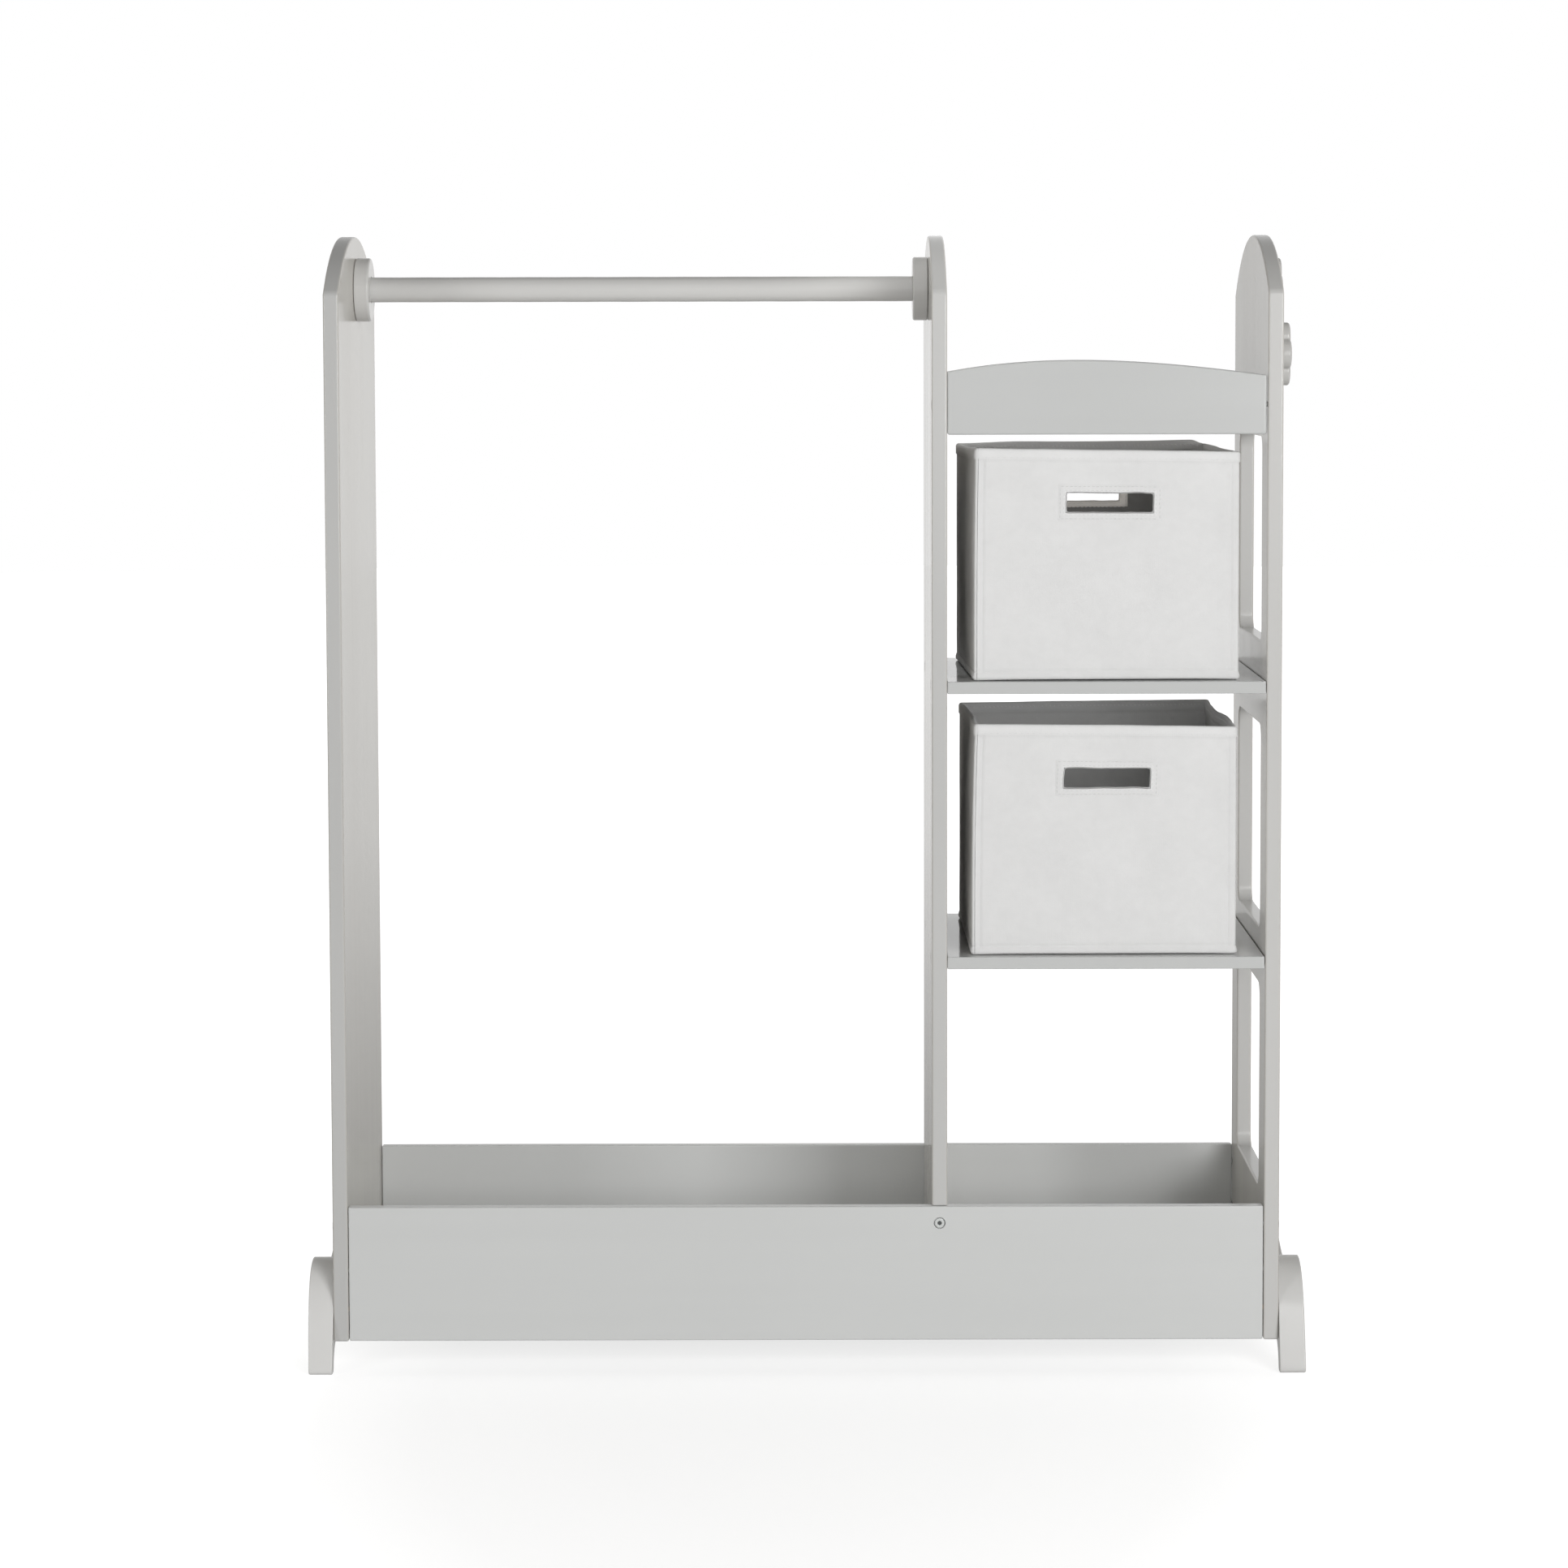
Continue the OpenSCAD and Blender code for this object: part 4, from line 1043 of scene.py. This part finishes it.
# rim heights go round the four sides: front (left to right), right (front to back), back (right to left), left (back to front)
E = Bin.L
BINS = {
    "upper_bin": Bin(291.0, 680.6, 1.8, (
        [(-E, 0.8), (-80, -0.1), (0, -1.2), (70, -2.1), (E, -3.2)],
        [(-E, -3.2), (-90, -3.5), (0, -3.2), (60, -2.2), (E, -1.9)],
        [(-E, -1.9), (-E + 12, 2.1), (-60, 1.1), (0, 0.7), (60, 1.0), (E, -0.9)],
        [(-E, -0.9), (0, -0.9), (E, 0.8)]),
        (0.7, 0.6, 0.3, 0.5), (1.2, 1.6, 0.8, 1.2), ((1.6, 0), (0, 0), (0, 0), (0, 0)), (0, 0, 0, 0),
        [(0, -70, 10, -46, 30, 2.2, 0.5), (0, -92, 205, -60, 180, 5.0, 0.3), (0, 60, 40, 96, 20, 6.0, 0.35)], 3.1, (2.7, 3.2)),
    "lower_bin": Bin(291.6, 410.5, 0.7, (
        [(-E, 1.2), (0, 0.1), (60, -0.8), (E, -1.8)],
        [(-E, -1.8), (-85, -0.2), (-40, 0.4), (-5, -0.4), (30, -1.6), (75, -2.2), (106, -1.4), (E, 1.6)],
        [(-E, 1.6), (-62, 1.1), (14, 0.5), (90, -0.5), (E, -0.8)],
        [(-E, -0.8), (0, 0.2), (E, 1.2)]),
        (0.5, 0.6, 0.3, 0.5), (1.4, 1.2, 1.0, 1.0), ((3.2, 0), (0, 0), (0, 0), (0, 0)), (0, 0, 0, -2.6),
        [(0, 50, 60, 100, 84, 7.0, 0.35), (0, -96, 22, -70, 12, 3.0, 0.45)], 8.4, (2.0, 0.0)),
}
for body, b in BINS.items():
    ob = b.shell(body + "_cloth", BIN_LININGS_WITH_PAINTED_SHADE[body])
    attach(ob, body)
    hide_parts(body + "_shell")
    st = b.stitches(body + "_stitching")
    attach(st, body)
    ins = slab(body + "_insert", "z", b.base(body), b.z0 + 4.05, b.z0 + 7.05, [INSERT], body=body, nodes=[body + "_base"],
               r0=0.6, r1=1.2, seg=4)
    layer = ins.data.uv_layers.new(name="cloth")
    for lp in ins.data.loops:
        co = ins.data.vertices[lp.vertex_index].co
        layer.data[lp.index].uv = (co.x, co.y)

# ------------------------------------------------------------------ CAD pieces that stay

for n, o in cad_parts.items():
    if o.hide_render:
        continue
    o.data.materials.clear()
    o.data.materials.append(WOOD if "dowel" in n else STEEL)

# ------------------------------------------------------------------ floor, light, camera


def floor():
    me = bpy.data.meshes.new("studio_floor")
    n, rad = 96, 14.0
    verts = [(rad * math.cos(2 * math.pi * i / n), rad * math.sin(2 * math.pi * i / n), -0.0004) for i in range(n)]
    me.from_pydata(verts, [], [tuple(range(n))])
    ob = bpy.data.objects.new("studio_floor", me)
    scene.collection.objects.link(ob)
    m, nt, bsdf, out = new_material("studio_floor")
    grain = noise_tex(nt, coords(nt), 1.5, 2.0)
    bsdf.inputs["Roughness"].default_value = 0.9
    bsdf.inputs["Specular IOR Level"].default_value = 0.1
    # the sweep is lit apart from the unit and brightens away from it: its glow for the camera is lower near the unit, a
    # painted soft shadow round it
    lp = nt.nodes.new("ShaderNodeLightPath")
    away = nt.nodes.new("ShaderNodeVectorMath")
    away.operation = "LENGTH"
    nt.links.new(coords(nt), away.inputs[0])
    flat = nt.nodes.new("ShaderNodeVectorMath")
    flat.operation = "LENGTH"
    nt.links.new(coords(nt, (1.0, 0.5, 0), (0, 0.12, 0)), flat.inputs[0])
    camera_glow_painted_shadow = ramp(nt, flat.outputs["Value"], [(0.2, 0.52), (0.36, 0.54), (0.46, 0.60), (0.56, 0.75), (0.7, 0.9), (0.95, 1.0)])
    shade = math_node(nt, "ADD", spread(nt, away.outputs["Value"], 0.54, 0.33, 1.1, 2.4), math_node(nt, "MULTIPLY", grain, 0.02))
    nt.links.new(shade, bsdf.inputs["Base Color"])
    split = nt.nodes.new("ShaderNodeSeparateXYZ")
    nt.links.new(coords(nt), split.inputs[0])
    behind = spread(nt, split.outputs["Y"], 0.1, 1.0, -0.8, 0.1)
    fade = ramp(nt, math_node(nt, "MULTIPLY", away.outputs["Value"], 0.1),
                [(0.08, 0.04), (0.12, 0.12), (0.165, 0.21), (0.267, 0.39), (0.42, 0.54), (0.8, 0.62)])
    mirrored = math_node(nt, "MULTIPLY", math_node(nt, "MULTIPLY", lp.outputs["Is Glossy Ray"], behind), fade)
    glow = nt.nodes.new("ShaderNodeEmission")
    glow.inputs["Color"].default_value = (1, 1, 1, 1)
    level = math_node(nt, "ADD", math_node(nt, "MULTIPLY", lp.outputs["Is Camera Ray"], camera_glow_painted_shadow), math_node(nt, "ADD", mirrored, 0.15))
    nt.links.new(level, glow.inputs["Strength"])
    both = nt.nodes.new("ShaderNodeAddShader")
    nt.links.new(bsdf.outputs["BSDF"], both.inputs[0])
    nt.links.new(glow.outputs["Emission"], both.inputs[1])
    nt.links.new(both.outputs[0], out.inputs["Surface"])
    me.materials.append(m)


floor()

world = bpy.data.worlds.new("studio")
scene.world = world
world.use_nodes = True
wt = world.node_tree
wt.nodes.clear()
w_out = wt.nodes.new("ShaderNodeOutputWorld")
w_bg = wt.nodes.new("ShaderNodeBackground")
w_tc = wt.nodes.new("ShaderNodeTexCoord")
w_sep = wt.nodes.new("ShaderNodeSeparateXYZ")
w_lp = wt.nodes.new("ShaderNodeLightPath")
wt.links.new(w_tc.outputs["Generated"], w_sep.inputs[0])


# the room is white behind the unit, dimmer in front of it and overhead
up = ramp(wt, w_sep.outputs["Z"], [(0.0, 1.0), (0.2, 0.97), (0.5, 0.55), (0.8, 0.16), (1.0, 0.07)])
half = math_node(wt, "ADD", math_node(wt, "MULTIPLY", w_sep.outputs["Y"], 0.5), 0.5)
deep = ramp(wt, half, [(0.0, 0.42), (0.35, 0.44), (0.6, 0.70), (0.8, 0.92), (1.0, 0.95)])
glowing = math_node(wt, "MULTIPLY", up, deep)
left_side = spread(wt, w_sep.outputs["X"], 0.2, 0.0, -0.12, -0.03)
dim = math_node(wt, "SUBTRACT", 1.0, math_node(wt, "MULTIPLY", left_side, w_lp.outputs["Is Glossy Ray"]))
glowing = math_node(wt, "MULTIPLY", glowing, dim)
shown = math_node(wt, "MAXIMUM", glowing, w_lp.outputs["Is Camera Ray"])
wt.links.new(shown, w_bg.inputs["Strength"])
# the walls to either side are a little warmer than the backdrop
wide = spread(wt, math_node(wt, "ABSOLUTE", w_sep.outputs["X"], 0.0), 0.0, 1.0, 0.2, 0.9)
wide = math_node(wt, "MULTIPLY", wide, math_node(wt, "SUBTRACT", 1.0, w_lp.outputs["Is Camera Ray"]))
wt.links.new(mix_colour(wt, wide, (1.0, 1.0, 1.0), (1.02, 0.99, 0.92)), w_bg.inputs["Color"])
wt.links.new(w_bg.outputs[0], w_out.inputs[0])


def area(name, place, target, size, size_y, power, colour=(1, 1, 1), shine=True):
    li = bpy.data.lights.new(name, "AREA")
    li.shape = "RECTANGLE"
    li.size, li.size_y = size, size_y
    li.energy = power
    li.color = colour
    ob = bpy.data.objects.new(name, li)
    scene.collection.objects.link(ob)
    ob.location = place
    ob.rotation_euler = (Vector(target) - Vector(place)).to_track_quat("-Z", "Y").to_euler()
    ob.visible_camera = False
    ob.visible_glossy = shine
    return ob


area("key", (1.75, -3.35, 1.4), (0.1, 0, 0.6), 1.5, 1.5, 64.0)
area("front", (0.4, -4.5, 1.15), (0, 0, 0.6), 1.5, 0.9, 16.0, shine=False)
area("left", (-2.7, -2.7, 1.0), (0, 0, 0.5), 0.8, 1.3, 19.0)

# a narrow light from above picks out the top of the divider
beam = bpy.data.lights.new("top_beam", "SPOT")
beam.energy = 23.0
beam.spot_size = math.radians(13)
beam.spot_blend = 0.8
beam.shadow_soft_size = 0.06
beam_ob = bpy.data.objects.new("top_beam", beam)
scene.collection.objects.link(beam_ob)
beam_ob.location = (0.14, -0.42, 2.4)
beam_ob.visible_glossy = False
beam_ob.rotation_euler = (Vector((0.135, -0.06, 1.07)) - Vector(beam_ob.location)).to_track_quat("-Z", "Y").to_euler()

SHIFT_Y = -0.11
PITCH = math.radians(3.873)
cam_data = bpy.data.cameras.new("camera")
cam_data.sensor_width = 36.0
cam_data.lens = 91.15
cam_data.shift_x = -0.0243
cam_data.shift_y = SHIFT_Y
cam_data.clip_end = 200
cam = bpy.data.objects.new("camera", cam_data)
scene.collection.objects.link(cam)
cam.location = (0.018, -4.006, 1.010)
cam.rotation_euler = (math.pi / 2 - PITCH, math.radians(0.13), 0)
scene.camera = cam
scene.view_settings.view_transform = "Standard"
